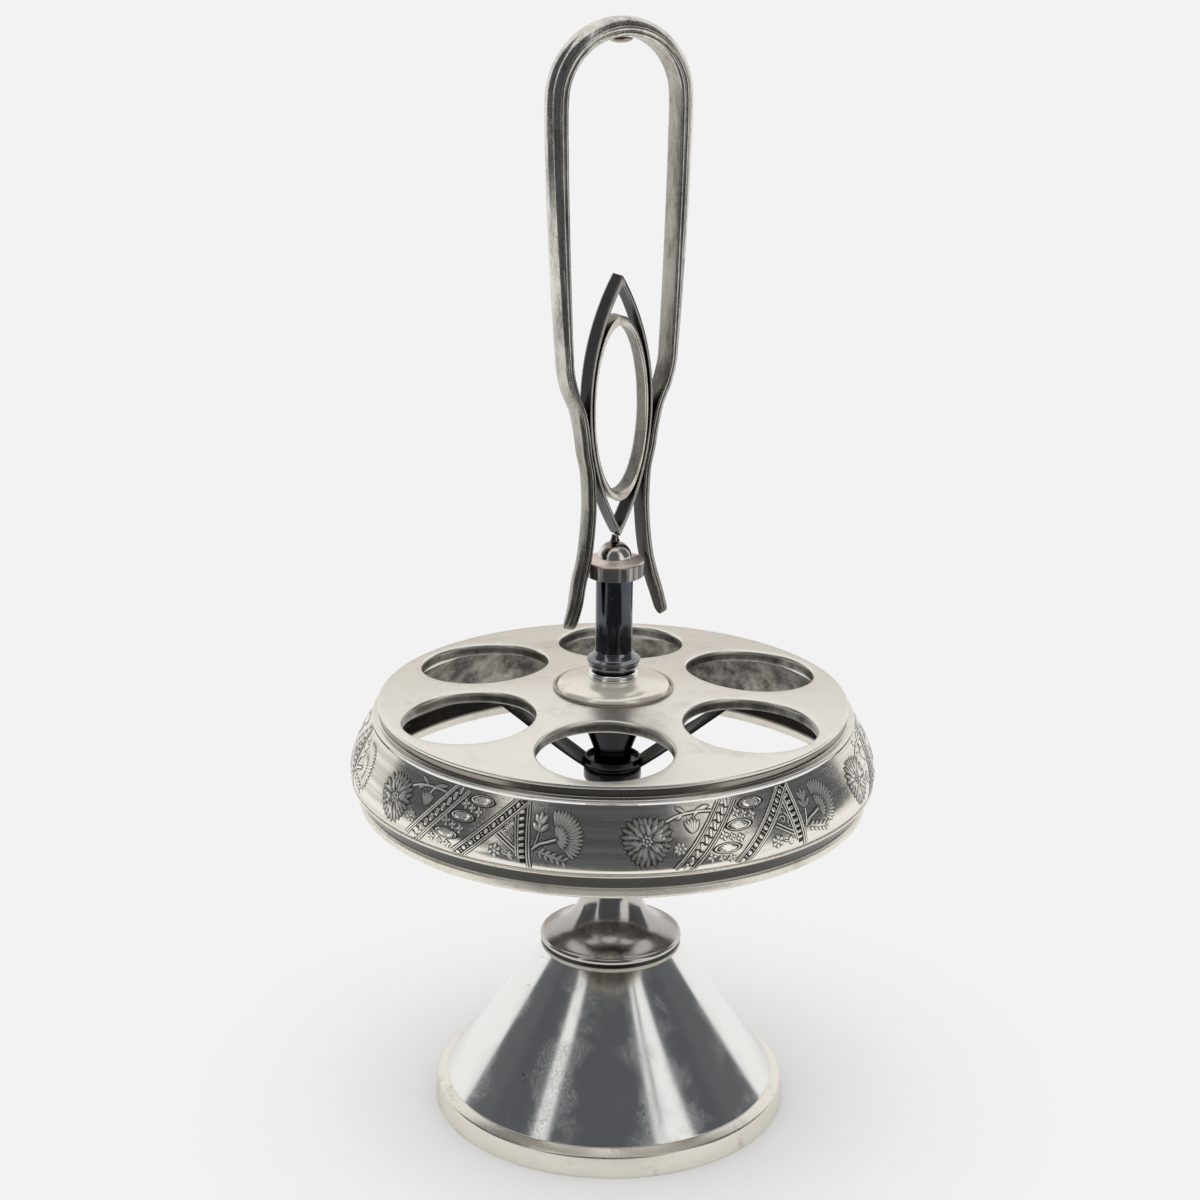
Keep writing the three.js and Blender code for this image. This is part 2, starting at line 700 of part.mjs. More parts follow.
// Dome with a rolled seam at its foot and a small ring on top
function trayDome() {
  const outer = [
    [DOME_R, domeFoot],
    [DOME_R - 1.4, domeFoot + DOME_RISE * 0.42],
    [DOME_R - 4.6, domeFoot + DOME_RISE * 0.72],
    [DOME_R - 8.4, domeFoot + DOME_RISE * 0.9],
    [DOME_TOP_R, domeTop],
  ];
  const bore = SLEEVE_R + RUN_GAP;
  return revolve([
    ...outer,
    [bore, domeTop],
    [bore, domeTop - DOME_WALL],
    [DOME_TOP_R, domeTop - DOME_WALL],
    [DOME_R - 5.0, domeFoot + DOME_RISE * 0.72 - DOME_WALL],
    [DOME_R - 2.4, domeFoot + DOME_RISE * 0.3],
    [DOME_R - 2.6, domeFoot],
  ], ROUND_MEDIUM);
}

function domeBead() {
  const centreR = DOME_R + DOME_BEAD_R + SEAT_GAP;
  const centreZ = plateTop(centreR) + DOME_BEAD_R + SEAT_GAP / 2;
  return revolve(arc(centreR, centreZ, DOME_BEAD_R, 0, 288, 4), ROUND_MEDIUM);
}

function domeCollar() {
  const bore = SLEEVE_R + RUN_GAP;
  const round = 0.7;
  return revolve([
    [bore, domeTop],
    [COLLAR_RING_R - 0.6, domeTop],
    [COLLAR_RING_R, domeTop + 0.6],
    ...arc(COLLAR_RING_R - round, collarRingTop - round, round, 0, 90, 2),
    [bore, collarRingTop],
  ], ROUND_SMALL);
}

// Hub: a flaring sleeve, and a strap that carries it in a lipped seat
function hubFunnel() {
  const tubeTop = hubFloor + 4.0;
  const flangeR = HUB_FLARE_R;
  const flangeZ = plateUnder(flangeR) - SEAT_GAP;
  const rise = flangeZ - tubeTop;
  return revolve([
    [HUB_BORE, hubFloor],
    [HUB_R, hubFloor],
    [HUB_R, tubeTop],
    [HUB_R + 2.5, tubeTop + rise * 0.28],
    [flangeR - 4.2, tubeTop + rise * 0.76],
    [flangeR, flangeZ - 1.0],
    [flangeR, flangeZ],
    [flangeR - 3.4, flangeZ],
    [flangeR - 5.4, tubeTop + rise * 0.74],
    [HUB_BORE + 2.2, tubeTop + rise * 0.26],
    [HUB_BORE, tubeTop - 1.0],
  ], ROUND_SMALL);
}

function hubStrap() {
  const seat = revolve([
    [HUB_BORE, hubFoot],
    [SEAT_R - 0.8, hubFoot],
    [SEAT_R, hubFoot + 0.8],
    [SEAT_R, hubFloor + SEAT_LIP_H],
    [SEAT_R - SEAT_LIP_T, hubFloor + SEAT_LIP_H],
    [SEAT_R - SEAT_LIP_T, hubFloor],
    [HUB_BORE, hubFloor],
  ], ROUND_SMALL);
  const rootR = SEAT_R - SEAT_LIP_T / 2;
  const rootZ = hubFoot + 0.9;
  const tabR = STRAP_REACH - STRAP_TAB;
  const tabTop = (r) => plateUnder(r) - SEAT_GAP;
  const side = new THREE.Shape([
    new THREE.Vector2(rootR, rootZ),
    new THREE.Vector2(tabR + 1.0, tabTop(tabR) - STRAP_T),
    new THREE.Vector2(STRAP_REACH, tabTop(STRAP_REACH) - STRAP_T),
    new THREE.Vector2(STRAP_REACH, tabTop(STRAP_REACH)),
    new THREE.Vector2(tabR, tabTop(tabR)),
    new THREE.Vector2(rootR, rootZ + STRAP_T * 1.3),
  ]);
  const strip = new THREE.ExtrudeGeometry(side, { depth: STRAP_WAIST_W * 2, bevelEnabled: false });
  strip.translate(0, 0, -STRAP_WAIST_W);
  strip.rotateX(Math.PI / 2);
  const halfPlan = [
    [rootR - 2, STRAP_ROOT_W / 2],
    [rootR + 7, STRAP_WAIST_W / 2],
    [STRAP_REACH * 0.58, STRAP_WAIST_W * 0.42],
    [tabR - 3, STRAP_TIP_W * 0.62],
    [STRAP_REACH, STRAP_TIP_W / 2],
  ];
  const plan = new THREE.Shape([
    ...halfPlan.map(([x, y]) => new THREE.Vector2(x, -y)),
    ...halfPlan.reverse().map(([x, y]) => new THREE.Vector2(x, y)),
  ]);
  const slab = new THREE.ExtrudeGeometry(plan, { depth: PLATE_Z, bevelEnabled: false });
  slab.translate(0, 0, hubFoot - PLATE_Z / 4);
  const arm = toSolid(strip).intersect(toSolid(slab));
  const turn = THREE.MathUtils.degToRad(TRAY_TURN);
  let strap = toSolid(seat);
  for (const azimuth of [turn, turn + Math.PI]) {
    strap = strap.add(arm.rotate([0, 0, THREE.MathUtils.radToDeg(azimuth)]));
  }
  return toGeometry(strap);
}

const thrustBore = SLEEVE_R + ROD_GAP;
const stand = new THREE.Group();
stand.add(
  piece('foot_ring', footRing(), satin()),
  piece('foot_cone', footCone(), polished()),
  piece('collar_ring', collarRing(), satin()),
  piece('pedestal_trumpet', pedestalTrumpet(), polished()),
  piece('pedestal_head', pedestalHead(), dark()),
  piece('thrust_washer', washer(THRUST_WASHER_R, thrustBore, headTop, THRUST_WASHER_T, 24), brass()),
  piece('spindle_sleeve', washer(SLEEVE_R, rodBore, headTop, retainerFoot - headTop, 24), dark()),
  piece('retaining_washer', washer(RETAINING_WASHER_R, rodBore, retainerFoot, RETAINING_WASHER_T, 24), brass()),
  piece('column_foot', columnFoot(), polished()),
  piece('column_tube', columnTube(), polished()),
  piece('cap_disc', capDisc(), oxidised()),
  piece('dome_nut', domeNut(), polished()),
  piece('tie_rod', tieRod(), iron()),
  piece('base_washer', baseWasher(), brass()),
  piece('base_nut', baseNut(), iron()),
);

const handle = new THREE.Group();
handle.rotation.z = THREE.MathUtils.degToRad(HANDLE_TURN);
handle.add(
  piece('handle_bow', handleBow(), polished()),
  piece('handle_pip', handlePip(), polished()),
  piece('handle_vesica', handleVesica(), polished()),
  piece('handle_oval_ring', handleOvalRing(), oxidised()),
  piece('handle_neck', handleNeck(), polished()),
);

const tray = new THREE.Group();
tray.add(
  piece('tray_plate', trayPlate(), satin()),
  piece('tray_ledge', trayLedge(), satin()),
  piece('tray_skirt', traySkirt(), oxidised()),
  piece('tray_foot_rim', trayFootRim(), satin()),
  piece('tray_dome', trayDome(), satin()),
  piece('dome_bead', domeBead(), oxidised()),
  piece('dome_collar', domeCollar(), polished()),
  piece('hub_funnel', hubFunnel(), dark()),
  piece('hub_strap', hubStrap(), dark()),
);

const cruetStand = new THREE.Group();
cruetStand.add(stand, handle, tray);

export default cruetStand;
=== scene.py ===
"""Finished surfaces of a revolving cruet stand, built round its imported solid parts."""

import math

import bmesh
import bpy
from bpy.props import FloatProperty, FloatVectorProperty, IntProperty, PointerProperty
from bpy.types import Operator, Panel, PropertyGroup
from mathutils import Matrix, Vector
from mathutils.geometry import delaunay_2d_cdt


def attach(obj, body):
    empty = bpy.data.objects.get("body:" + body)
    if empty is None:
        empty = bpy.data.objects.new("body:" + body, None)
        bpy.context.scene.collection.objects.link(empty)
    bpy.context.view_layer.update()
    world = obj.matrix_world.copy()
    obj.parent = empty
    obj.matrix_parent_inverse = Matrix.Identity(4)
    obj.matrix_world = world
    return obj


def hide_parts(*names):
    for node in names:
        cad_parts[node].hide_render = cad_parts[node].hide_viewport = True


bl_info = {
    "name": "Revolving cruet stand",
    "version": (1, 1, 0),
    "blender": (4, 5, 0),
    "location": "3D View > Sidebar > Cruet stand",
    "description": "Dresses the solid parts of a revolving cruet stand in worn silver plate",
    "category": "Add Mesh",
}

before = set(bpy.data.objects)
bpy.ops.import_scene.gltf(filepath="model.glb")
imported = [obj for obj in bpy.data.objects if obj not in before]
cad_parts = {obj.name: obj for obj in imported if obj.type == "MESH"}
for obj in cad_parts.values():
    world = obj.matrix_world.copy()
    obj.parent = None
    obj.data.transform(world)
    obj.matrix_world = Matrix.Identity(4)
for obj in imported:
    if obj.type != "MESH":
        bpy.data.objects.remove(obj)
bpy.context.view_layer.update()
MM = 0.001

# Sizes that several pieces share, in millimetres
PLATE_R = 86.3
PLATE_Z = 161.0
PLATE_SLOPE = 0.065
HOLE_R = 24.0
HOLE_RING_R = 58.0
PLATE_THICK = 1.4
SOLDER_GAP = 0.3
TRAY_FACETS = 288
HOLE_FACETS = 96
SKIRT_FOOT = (96.5, 133.6)
SKIRT_TOP = (88.7, 155.2)
SKIRT_SWELL = 2.2
SKIRT_POWER = 0.75
GROUND_DEPTH = 0.22


# Curves and outlines, in millimetres


def through(points, steps):
    """A smooth curve through the points, with this many steps between each two."""
    pts = [Vector(p) for p in points]
    pts = [pts[0] * 2 - pts[1], *pts, pts[-1] * 2 - pts[-2]]
    out = []
    for i in range(1, len(pts) - 2):
        p0, p1, p2, p3 = pts[i - 1 : i + 3]
        t1 = math.sqrt((p1 - p0).length)
        t2 = t1 + math.sqrt((p2 - p1).length)
        t3 = t2 + math.sqrt((p3 - p2).length)
        for k in range(steps):
            t = t1 + (t2 - t1) * k / steps
            a1 = p0.lerp(p1, t / t1)
            a2 = p1.lerp(p2, (t - t1) / (t2 - t1))
            a3 = p2.lerp(p3, (t - t2) / (t3 - t2))
            b1 = a1.lerp(a2, t / t2)
            b2 = a2.lerp(a3, (t - t1) / (t3 - t1))
            out.append(b1.lerp(b2, (t - t1) / (t2 - t1)))
    out.append(pts[-2].copy())
    return [tuple(p) for p in out]


def rounded(corners, steps=4):
    """A closed outline whose corners (x, y, fillet) are rounded by their own fillet."""
    out = []
    count = len(corners)
    for i, (x, y, fillet) in enumerate(corners):
        here = Vector((x, y))
        if fillet == 0:
            out.append((x, y))
            continue
        back = Vector(corners[i - 1][:2]) - here
        ahead = Vector(corners[(i + 1) % count][:2]) - here
        half = back.angle(ahead) / 2
        reach = min(fillet / math.tan(half), 0.48 * back.length, 0.48 * ahead.length)
        a = here + back.normalized() * reach
        b = here + ahead.normalized() * reach
        for k in range(steps + 1):
            t = k / steps
            out.append(tuple(a.lerp(here, t).lerp(here.lerp(b, t), t)))
    return out


def arc(centre_r, centre_z, radius, start, end, steps, tall=None):
    """Points of a round or, with its own height, oval stretch, in degrees from the outward direction."""
    out = []
    for k in range(steps + 1):
        a = math.radians(start + (end - start) * k / steps)
        out.append((centre_r + radius * math.cos(a), centre_z + (tall or radius) * math.sin(a)))
    return out


def ray(angle):
    """A direction in the plan."""
    return Vector((math.cos(angle), math.sin(angle)))


def circle(centre, radius, count):
    """Points of a circle in the plan."""
    return [Vector(centre) + ray(2 * math.pi * k / count) * radius for k in range(count)]


def rectangle(half_x, half_y, fillet, steps):
    """A rectangle about the origin with rounded corners."""
    return rounded([(-half_x, -half_y, fillet), (half_x, -half_y, fillet), (half_x, half_y, fillet),
                    (-half_x, half_y, fillet)], steps)


# Meshes


def face_outwards(mesh):
    """Turns every face of a closed mesh outwards."""
    work = bmesh.new()
    work.from_mesh(mesh)
    bmesh.ops.recalc_face_normals(work, faces=work.faces)
    work.to_mesh(mesh)
    work.free()


def linked(name, data):
    """A new object in the scene."""
    obj = bpy.data.objects.new(name, data)
    bpy.context.scene.collection.objects.link(obj)
    return obj


def between(low, high, closed=True):
    """Faces between two rows of points, which run all the way round or are open."""
    count = len(low)
    return [[low[k], low[(k + 1) % count], high[(k + 1) % count], high[k]]
            for k in range(count if closed else count - 1)]


def mesh_object(name, points, faces, sharp=35, raised=None, solid=True):
    """A smooth-shaded object from points in millimetres, with its edges sharp past an angle."""
    mesh = bpy.data.meshes.new(name)
    mesh.from_pydata([Vector(p) * MM for p in points], [], faces)
    if raised:
        layer = mesh.attributes.new("raised", "FLOAT", "POINT")
        layer.data.foreach_set("value", raised)
    mesh.validate()
    if solid:
        face_outwards(mesh)
    mesh.shade_smooth()
    mesh.set_sharp_from_angle(angle=math.radians(sharp))
    return linked(name, mesh)


def turned(name, outline, facets):
    """Revolves an outline of (radius, height) about the upright axis."""
    outline = list(outline)
    closed = all(abs(p[0]) > 1e-6 for p in outline)
    while not closed and not (abs(outline[0][0]) < 1e-6 and abs(outline[-1][0]) < 1e-6):
        outline.append(outline.pop(0))
    points = []
    rings = []
    for r, z in outline:
        if abs(r) < 1e-6:
            rings.append([len(points)] * facets)
            points.append((0, 0, z))
            continue
        rings.append(list(range(len(points), len(points) + facets)))
        points += [(p.x, p.y, z) for p in circle((0, 0), r, facets)]
    faces = []
    for i in range(len(rings) if closed else len(rings) - 1):
        for face in between(rings[i], rings[(i + 1) % len(rings)]):
            face = [v for n, v in enumerate(face) if v != face[n - 1]]
            if len(face) > 2:
                faces.append(face)
    return mesh_object(name, points, faces)


def swept(name, sections, closed, sharp=35, raised=None):
    """Skins a row of sections, each a closed ring of points; open rows get flat ends."""
    size = len(sections[0])
    points = [p for section in sections for p in section]
    rings = [list(range(i * size, (i + 1) * size)) for i in range(len(sections))]
    faces = []
    for i in range(len(rings) if closed else len(rings) - 1):
        faces += between(rings[i], rings[(i + 1) % len(rings)])
    if not closed:
        faces += [rings[0][::-1], rings[-1]]
    return mesh_object(name, points, faces, sharp, raised and raised * len(sections))


def dress(obj, body, slot_name, material, *nodes):
    """Gives a piece its material and body, and says which solids it stands for; the slot name is not used."""
    obj.data.materials.clear()
    obj.data.materials.append(material)
    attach(obj, body)
    if nodes:
        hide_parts(*nodes)


def turned_piece(node, outline, facets, body, slot_name, material):
    """Turns the finished piece that stands for a solid, and dresses it."""
    dress(turned(f"{node}_turned", outline, facets), body, slot_name, material, node)


# Shader building blocks


class Value:
    """Something that a shader works out; sums and products of numbers are written plainly."""

    def __init__(self, socket):
        self.socket = socket
        self.tree = socket.id_data

    def __add__(self, other):
        return calc("ADD", self, other)

    def __sub__(self, other):
        return calc("SUBTRACT", self, other)

    def __rsub__(self, other):
        return calc("SUBTRACT", other, self)

    def __mul__(self, other):
        return calc("MULTIPLY", self, other)


def add(tree, kind, **settings):
    """A new node with its settings."""
    node = tree.nodes.new(kind)
    for key, value in settings.items():
        setattr(node, key, value)
    return node


def feed(socket, value):
    """Links a value to an input, or sets the input to a plain number or colour."""
    if isinstance(value, Value):
        value.tree.links.new(value.socket, socket)
    elif socket.type == "RGBA":
        socket.default_value = (*value[:3], 1.0)
    else:
        socket.default_value = value


def outputs(node):
    """What a node puts out, by name."""
    return {socket.name: Value(socket) for socket in node.outputs}


def worked(tree, kind, inputs, output=0, **settings):
    """A new node with its inputs fed, and the value that it puts out."""
    node = add(tree, kind, **settings)
    for key, value in inputs.items():
        feed(node.inputs[key], value)
    return Value(node.outputs[output])


def calc(operation, *values, clamp=False):
    """One step of arithmetic on values of which the shader works out at least one."""
    tree = next(value.tree for value in values if isinstance(value, Value))
    return worked(tree, "ShaderNodeMath", dict(enumerate(values)), operation=operation, use_clamp=clamp)


def noise(where, scale, detail=4.0, rough=0.55):
    """Cloudy noise from 0 to 1."""
    inputs = {"Vector": where, "Scale": scale, "Detail": detail, "Roughness": rough}
    return worked(where.tree, "ShaderNodeTexNoise", inputs, "Fac")


def remap(value, low, high, to_low=0.0, to_high=1.0):
    """One range of numbers stretched onto another, and held at its ends."""
    inputs = {"Value": value, "From Min": low, "From Max": high, "To Min": to_low, "To Max": to_high}
    return worked(value.tree, "ShaderNodeMapRange", inputs, "Result", clamp=True)


def rising(value, low, high):
    """0 below the lower size and 1 above the higher, both in millimetres."""
    return remap(value, low * MM, high * MM)


def falling(value, low, high):
    """1 below the lower size and 0 above the higher, both in millimetres."""
    return remap(value, low * MM, high * MM, 1.0, 0.0)


def blend(mask, first, second, kind="MIX"):
    """The first colour where the mask is 0, and the second mixed or multiplied in where it is 1."""
    inputs = {"Factor": mask, 6: first, 7: second}
    tree = next(value.tree for value in inputs.values() if isinstance(value, Value))
    return worked(tree, "ShaderNodeMix", inputs, 2, data_type="RGBA", blend_type=kind)


def tinted(first, second):
    """One colour multiplied by another."""
    return blend(1.0, first, second, "MULTIPLY")


def mottled(where, scale, low, high, first, second):
    """Two colours in cloudy patches."""
    return blend(remap(noise(where, scale, 6.0, 0.72), low, high), first, second)


def stretched(where, scale, turn=(0, 0, 0)):
    """The coordinates stretched and turned, so that a pattern on them is drawn out."""
    inputs = {"Vector": where, "Scale": scale, "Rotation": turn}
    return worked(where.tree, "ShaderNodeMapping", inputs)


def combined(*parts):
    """A point from its coordinates."""
    return worked(parts[0].tree, "ShaderNodeCombineXYZ", dict(enumerate(parts)))


def polar(where):
    """Distance from the axis, height, and the two plan coordinates."""
    parts = add(where.tree, "ShaderNodeSeparateXYZ")
    feed(parts.inputs[0], where)
    x, y, z = outputs(parts).values()
    return calc("SQRT", x * x + y * y), z, x, y


# Shader node groups


def build_tarnish(given):
    """Cloudy stains: a colour between clean and stained plate, and where the stains are."""
    cloud = noise(given["Vector"], given["Scale"], 5.0, 0.62)
    fine = noise(given["Vector"], given["Scale"] * 9.0, 3.0)
    low = 0.68 - given["Amount"] * 0.4
    mask = remap(fine * 0.3 + cloud * 0.75, low, low + 0.3)
    return blend(mask, given["Clean"], given["Stain"]), mask


def build_scratches(given):
    """Hairline scratches in crossing directions, as a height from 0 to 1."""
    height = 0.0
    for turn in ((0.3, 0.2, 0.5), (1.9, 0.7, -0.6), (0.8, 2.3, 1.4)):
        line = stretched(given["Vector"], (1.0, 0.05, 1.0), turn)
        dent = calc("ABSOLUTE", noise(line, given["Fineness"] * 9.0, 2.0) - 0.5)
        height = calc("MAXIMUM", height, remap(dent, 0.0, 0.01, 1.0, 0.0))
    cover = remap(noise(given["Vector"], given["Fineness"], 2.0), 0.42, 0.6)
    return (height * cover,)


def build_spun(given):
    """Fine rings left by the lathe, as a height from 0 to 1."""
    radius, z, x, _ = polar(given["Vector"])
    return (noise(combined(radius, z, x * 0.02), given["Fineness"], 2.0),)


def build_pits(given):
    """Scattered pinholes and specks, as a mask."""
    inputs = {"Vector": given["Vector"], "Scale": given["Scale"]}
    cells = worked(given["Vector"].tree, "ShaderNodeTexVoronoi", inputs, "Distance")
    patch = noise(given["Vector"], given["Scale"] * 0.12, 3.0)
    low = 0.66 - given["Cover"] * 0.3
    return (remap(cells, 0.1, 0.2, 1.0, 0.0) * remap(patch, low, low + 0.08),)


# Each group's inputs with their defaults, what it puts out, and the function that builds it
GROUPS = {
    "Tarnish": ({"Vector": None, "Clean": (0.8, 0.78, 0.74, 1), "Stain": (0.3, 0.26, 0.22, 1),
                 "Scale": 60.0, "Amount": 0.3}, ("Color", "Mask"), build_tarnish),
    "Hairline scratches": ({"Vector": None, "Fineness": 90.0}, ("Height",), build_scratches),
    "Spun rings": ({"Vector": None, "Fineness": 900.0}, ("Height",), build_spun),
    "Pinholes": ({"Vector": None, "Scale": 700.0, "Cover": 0.3}, ("Mask",), build_pits),
}
KINDS = {type(None): "NodeSocketVector", tuple: "NodeSocketColor", float: "NodeSocketFloat"}


def shader_group(name):
    """A shader group, built the first time it is asked for."""
    if name in bpy.data.node_groups:
        return bpy.data.node_groups[name]
    inputs, results, build = GROUPS[name]
    group = bpy.data.node_groups.new(name, "ShaderNodeTree")
    for label, value in inputs.items():
        socket = group.interface.new_socket(label, in_out="INPUT", socket_type=KINDS[type(value)])
        if value is not None:
            socket.default_value = value
    for label in results:
        kind = "NodeSocketColor" if label == "Color" else "NodeSocketFloat"
        group.interface.new_socket(label, in_out="OUTPUT", socket_type=kind)
    given = outputs(add(group, "NodeGroupInput"))
    sink = add(group, "NodeGroupOutput")
    for label, result in zip(results, build(given)):
        feed(sink.inputs[label], result)
    return group


def placed(name, where, **values):
    """What a shader group puts out by name, placed in a material with its own values."""
    node = add(where.tree, "ShaderNodeGroup")
    node.node_tree = shader_group(name)
    for label, value in {"Vector": where, **values}.items():
        feed(node.inputs[label], value)
    return outputs(node)


# Finishes


def plate_finish(name, clean, stain, rough, *, stain_scale=120.0, stains=0.3, spun=0.0,
                 spun_fineness=900.0, scratches=0.5, pits=0.2, pit_scale=700.0, rough_spread=0.1,
                 grain=1.0, metal=1.0, speck=(0.06, 0.05, 0.045), shade=None):
    """One worn metal surface: stains, pinholes, spun rings and scratches over a base colour.

    A grain below 1 draws the stains out upwards. The shade function, where there is one, gets the
    object coordinates and the colour, and returns the colour, with painted shade, painted reflections
    and wear put in as each material needs, and what to add to the roughness."""
    if name in bpy.data.materials:
        return bpy.data.materials[name]
    material = bpy.data.materials.new(name)
    material.use_nodes = True
    tree = material.node_tree
    where = outputs(add(tree, "ShaderNodeTexCoord"))["Object"]
    drawn = stretched(where, (1, 1, grain))
    tarnish = placed("Tarnish", drawn, Clean=clean, Stain=stain, Scale=stain_scale, Amount=stains)
    colour = tarnish["Color"]
    height = placed("Hairline scratches", where)["Height"] * -scratches
    if pits:
        holes = placed("Pinholes", where, Scale=pit_scale, Cover=pits)["Mask"]
        colour = blend(holes, colour, speck)
        height = height - holes
    if spun:
        height = placed("Spun rings", where, Fineness=spun_fineness)["Height"] * spun + height
    wear = remap(noise(where, 35.0, 4.0, 0.6), 0.3, 0.7, rough, rough + rough_spread)
    dull = tarnish["Mask"] * 0.1 + wear
    if shade:
        colour, extra = shade(where, colour)
        dull = calc("ADD", dull, extra, clamp=True)
    bump = {"Strength": 0.25, "Distance": 0.06 * MM, "Height": height}
    surface = {"Metallic": metal, "Base Color": colour, "Roughness": dull,
               "Normal": worked(tree, "ShaderNodeBump", bump, "Normal")}
    for label, value in surface.items():
        feed(tree.nodes["Principled BSDF"].inputs[label], value)
    return material


def finishes():
    """The colours that can be set in the panel."""
    return bpy.context.scene.cruet_finish


def shade_plate(where, colour):
    """Darkens the drawn-down walls of the holes and the plate's underside with painted shade, in cloudy
    patches, less on the lower lip of each hole.
    """
    radius, z, _, _ = polar(where)
    depth = (PLATE_R * MM - radius) * PLATE_SLOPE + PLATE_Z * MM - z
    # painted shade: full on the hole walls and the underside, eased off at the lower lip of each hole
    wall = rising(depth, 0.7, 1.7) * (1.0 - rising(depth, 3.8, 4.2) * 0.75)
    dark = mottled(where, 170.0, 0.42, 0.75, (0.05, 0.047, 0.043), (0.34, 0.32, 0.28))
    return blend(wall * 0.9, colour, dark), 0.0


def shade_skirt(where, colour):
    """Streaks the skirt along its turning marks and darkens its inner face with painted shade, in cloudy
    patches.
    """
    radius, z, _, _ = polar(where)
    marks = remap(placed("Spun rings", where, Fineness=420.0)["Height"], 0.35, 0.65)
    colour = tinted(colour, blend(marks, (0.72, 0.71, 0.69), (1.0, 1.0, 1.0)))
    up = rising(z, SKIRT_FOOT[1], SKIRT_TOP[1])
    swell = calc("SINE", calc("POWER", up, SKIRT_POWER) * math.pi) * (SKIRT_SWELL * MM)
    outer = up * ((SKIRT_TOP[0] - SKIRT_FOOT[0]) * MM) + SKIRT_FOOT[0] * MM + swell
    # painted shade on the skirt's inner face, under the tray
    inside = rising(outer - radius, 0.6, 0.9)
    dark = mottled(where, 110.0, 0.4, 0.72, (0.09, 0.085, 0.078), (0.5, 0.47, 0.42))
    return blend(inside, colour, dark), inside * 0.1


def shade_ledge(where, colour):
    """Darkens the neck above the ledge with painted shade, blackest in its corner."""
    z = polar(where)[1]
    neck = rising(z, 156.95, 157.1)
    # painted shade, blackest in the corner where the neck meets the ledge
    dark = blend(falling(z, 157.1, 157.8), (0.34, 0.31, 0.27), (0.03, 0.028, 0.025))
    return blend(neck, colour, dark), neck * -0.12


def shade_rim(where, colour):
    """Darkens and polishes the cove between the rim's bead and its lip; the dark colour is a painted
    reflection.
    """
    z = polar(where)[1]
    cove = rising(z, 126.6, 127.3) * falling(z, 131.8, 132.4)
    # painted dark reflection in the cove
    return blend(cove, colour, (0.05, 0.048, 0.043)), cove * -0.24


def shade_cap(where, colour):
    """Leaves the bronze colour to the cap's top and blackens its side."""
    _, z, x, y = polar(where)
    side = falling(z, 213.3, 213.9)
    streak = remap(noise(combined(x, y), 420.0, 2.0), 0.5, 0.62)
    dark = blend(streak, (0.16, 0.155, 0.15), (0.42, 0.4, 0.37))
    return blend(side, colour, dark), side * -0.2


def shade_nut(where, colour):
    """Rubs the nut bright round its foot and leaves it bronze in the middle."""
    ragged = noise(where, 320.0) * (2.4 * MM) + polar(where)[0]
    worn = rising(ragged, 4.8, 6.2)
    return blend(worn, colour, (0.82, 0.77, 0.71)), worn * -0.05


def shade_stem(where, colour):
    """Darkens and dulls the wide foot of the stem with a painted dark reflection of the tray's underside, and
    leaves its rolled edge as it is.
    """
    z = polar(where)[1]
    flare = rising(z, 66.8, 67.8) * falling(z, 72.0, 80.0)
    # painted dark reflection on the flare
    return blend(flare, colour, (0.46, 0.43, 0.41)), flare * 0.05


def shade_collar(where, colour):
    """Blackens the collar's upper part with painted shade, under the rolled foot of the stem."""
    # painted shade under the rolled foot of the stem
    under = rising(polar(where)[1], 63.2, 63.7)
    return blend(under, colour, (0.05, 0.047, 0.043)), under * -0.2


def shade_raised(low, high, rough_low):
    """A shade function that tints a relief's recesses, by how far each point is raised."""

    def shade(where, colour):
        lift = worked(where.tree, "ShaderNodeAttribute", {}, "Fac", attribute_name="raised")
        # worn runs from 0 in the low parts to 1 on the high ones: oxide and rubbing on the ornament and the
        # oval ring, painted shade on the handle and the pointed frame
        worn = remap(noise(where, 700.0, 2.0) * 0.3 + lift, 0.35, 0.85)
        return tinted(colour, blend(worn, low, high)), remap(worn, 0.0, 1.0, rough_low, 0.0)

    return shade


def shade_handle(where, colour):
    """Darkens the reeds and, more and more, the legs below the frame's shoulders, as painted shade."""
    legs = falling(noise(where, 60.0, 4.0, 0.6) * (30 * MM) + polar(where)[1], 270.0, 325.0)
    # painted shade: the grooves darker than the ridges, and both darker down the legs
    recess = blend(legs, (0.62, 0.6, 0.56), (0.06, 0.058, 0.057))
    ridge = blend(legs, (1.0, 0.99, 0.97), (0.52, 0.51, 0.48))
    return shade_raised(recess, ridge, 0.12)(where, colour)


def cream_plate():
    return plate_finish("Cream satin plate", (0.84, 0.79, 0.69), (0.5, 0.41, 0.3), 0.16, stain_scale=70,
                        stains=0.2, spun=0.5, pits=0.12, pit_scale=900, rough_spread=0.06, metal=0.6)


def foot_plate():
    return plate_finish("Foot ring plate", (0.88, 0.84, 0.75), (0.42, 0.35, 0.27), 0.22, stain_scale=75,
                        stains=0.26, spun=0.7, pits=0.15, rough_spread=0.08)


def holed_plate():
    return plate_finish("Cream holed plate", finishes().satin, (0.6, 0.53, 0.45), 0.25, stain_scale=30,
                        spun=0.5, scratches=0.6, pits=0.12, pit_scale=900, shade=shade_plate)


def ledge_plate():
    return plate_finish("Ledge plate", finishes().satin, (0.45, 0.38, 0.3), 0.25, stain_scale=90,
                        stains=0.2, spun=0.6, scratches=0.4, shade=shade_ledge)


def rim_plate():
    return plate_finish("Rim plate", (0.84, 0.79, 0.69), (0.4, 0.33, 0.26), 0.24, stain_scale=100,
                        spun=0.7, scratches=0.4, pits=0.15, metal=0.7, shade=shade_rim)


def collar_plate():
    return plate_finish("Collar plate", (0.56, 0.53, 0.46), (0.24, 0.21, 0.18), 0.36, spun=0.7,
                        scratches=0.3, shade=shade_collar)


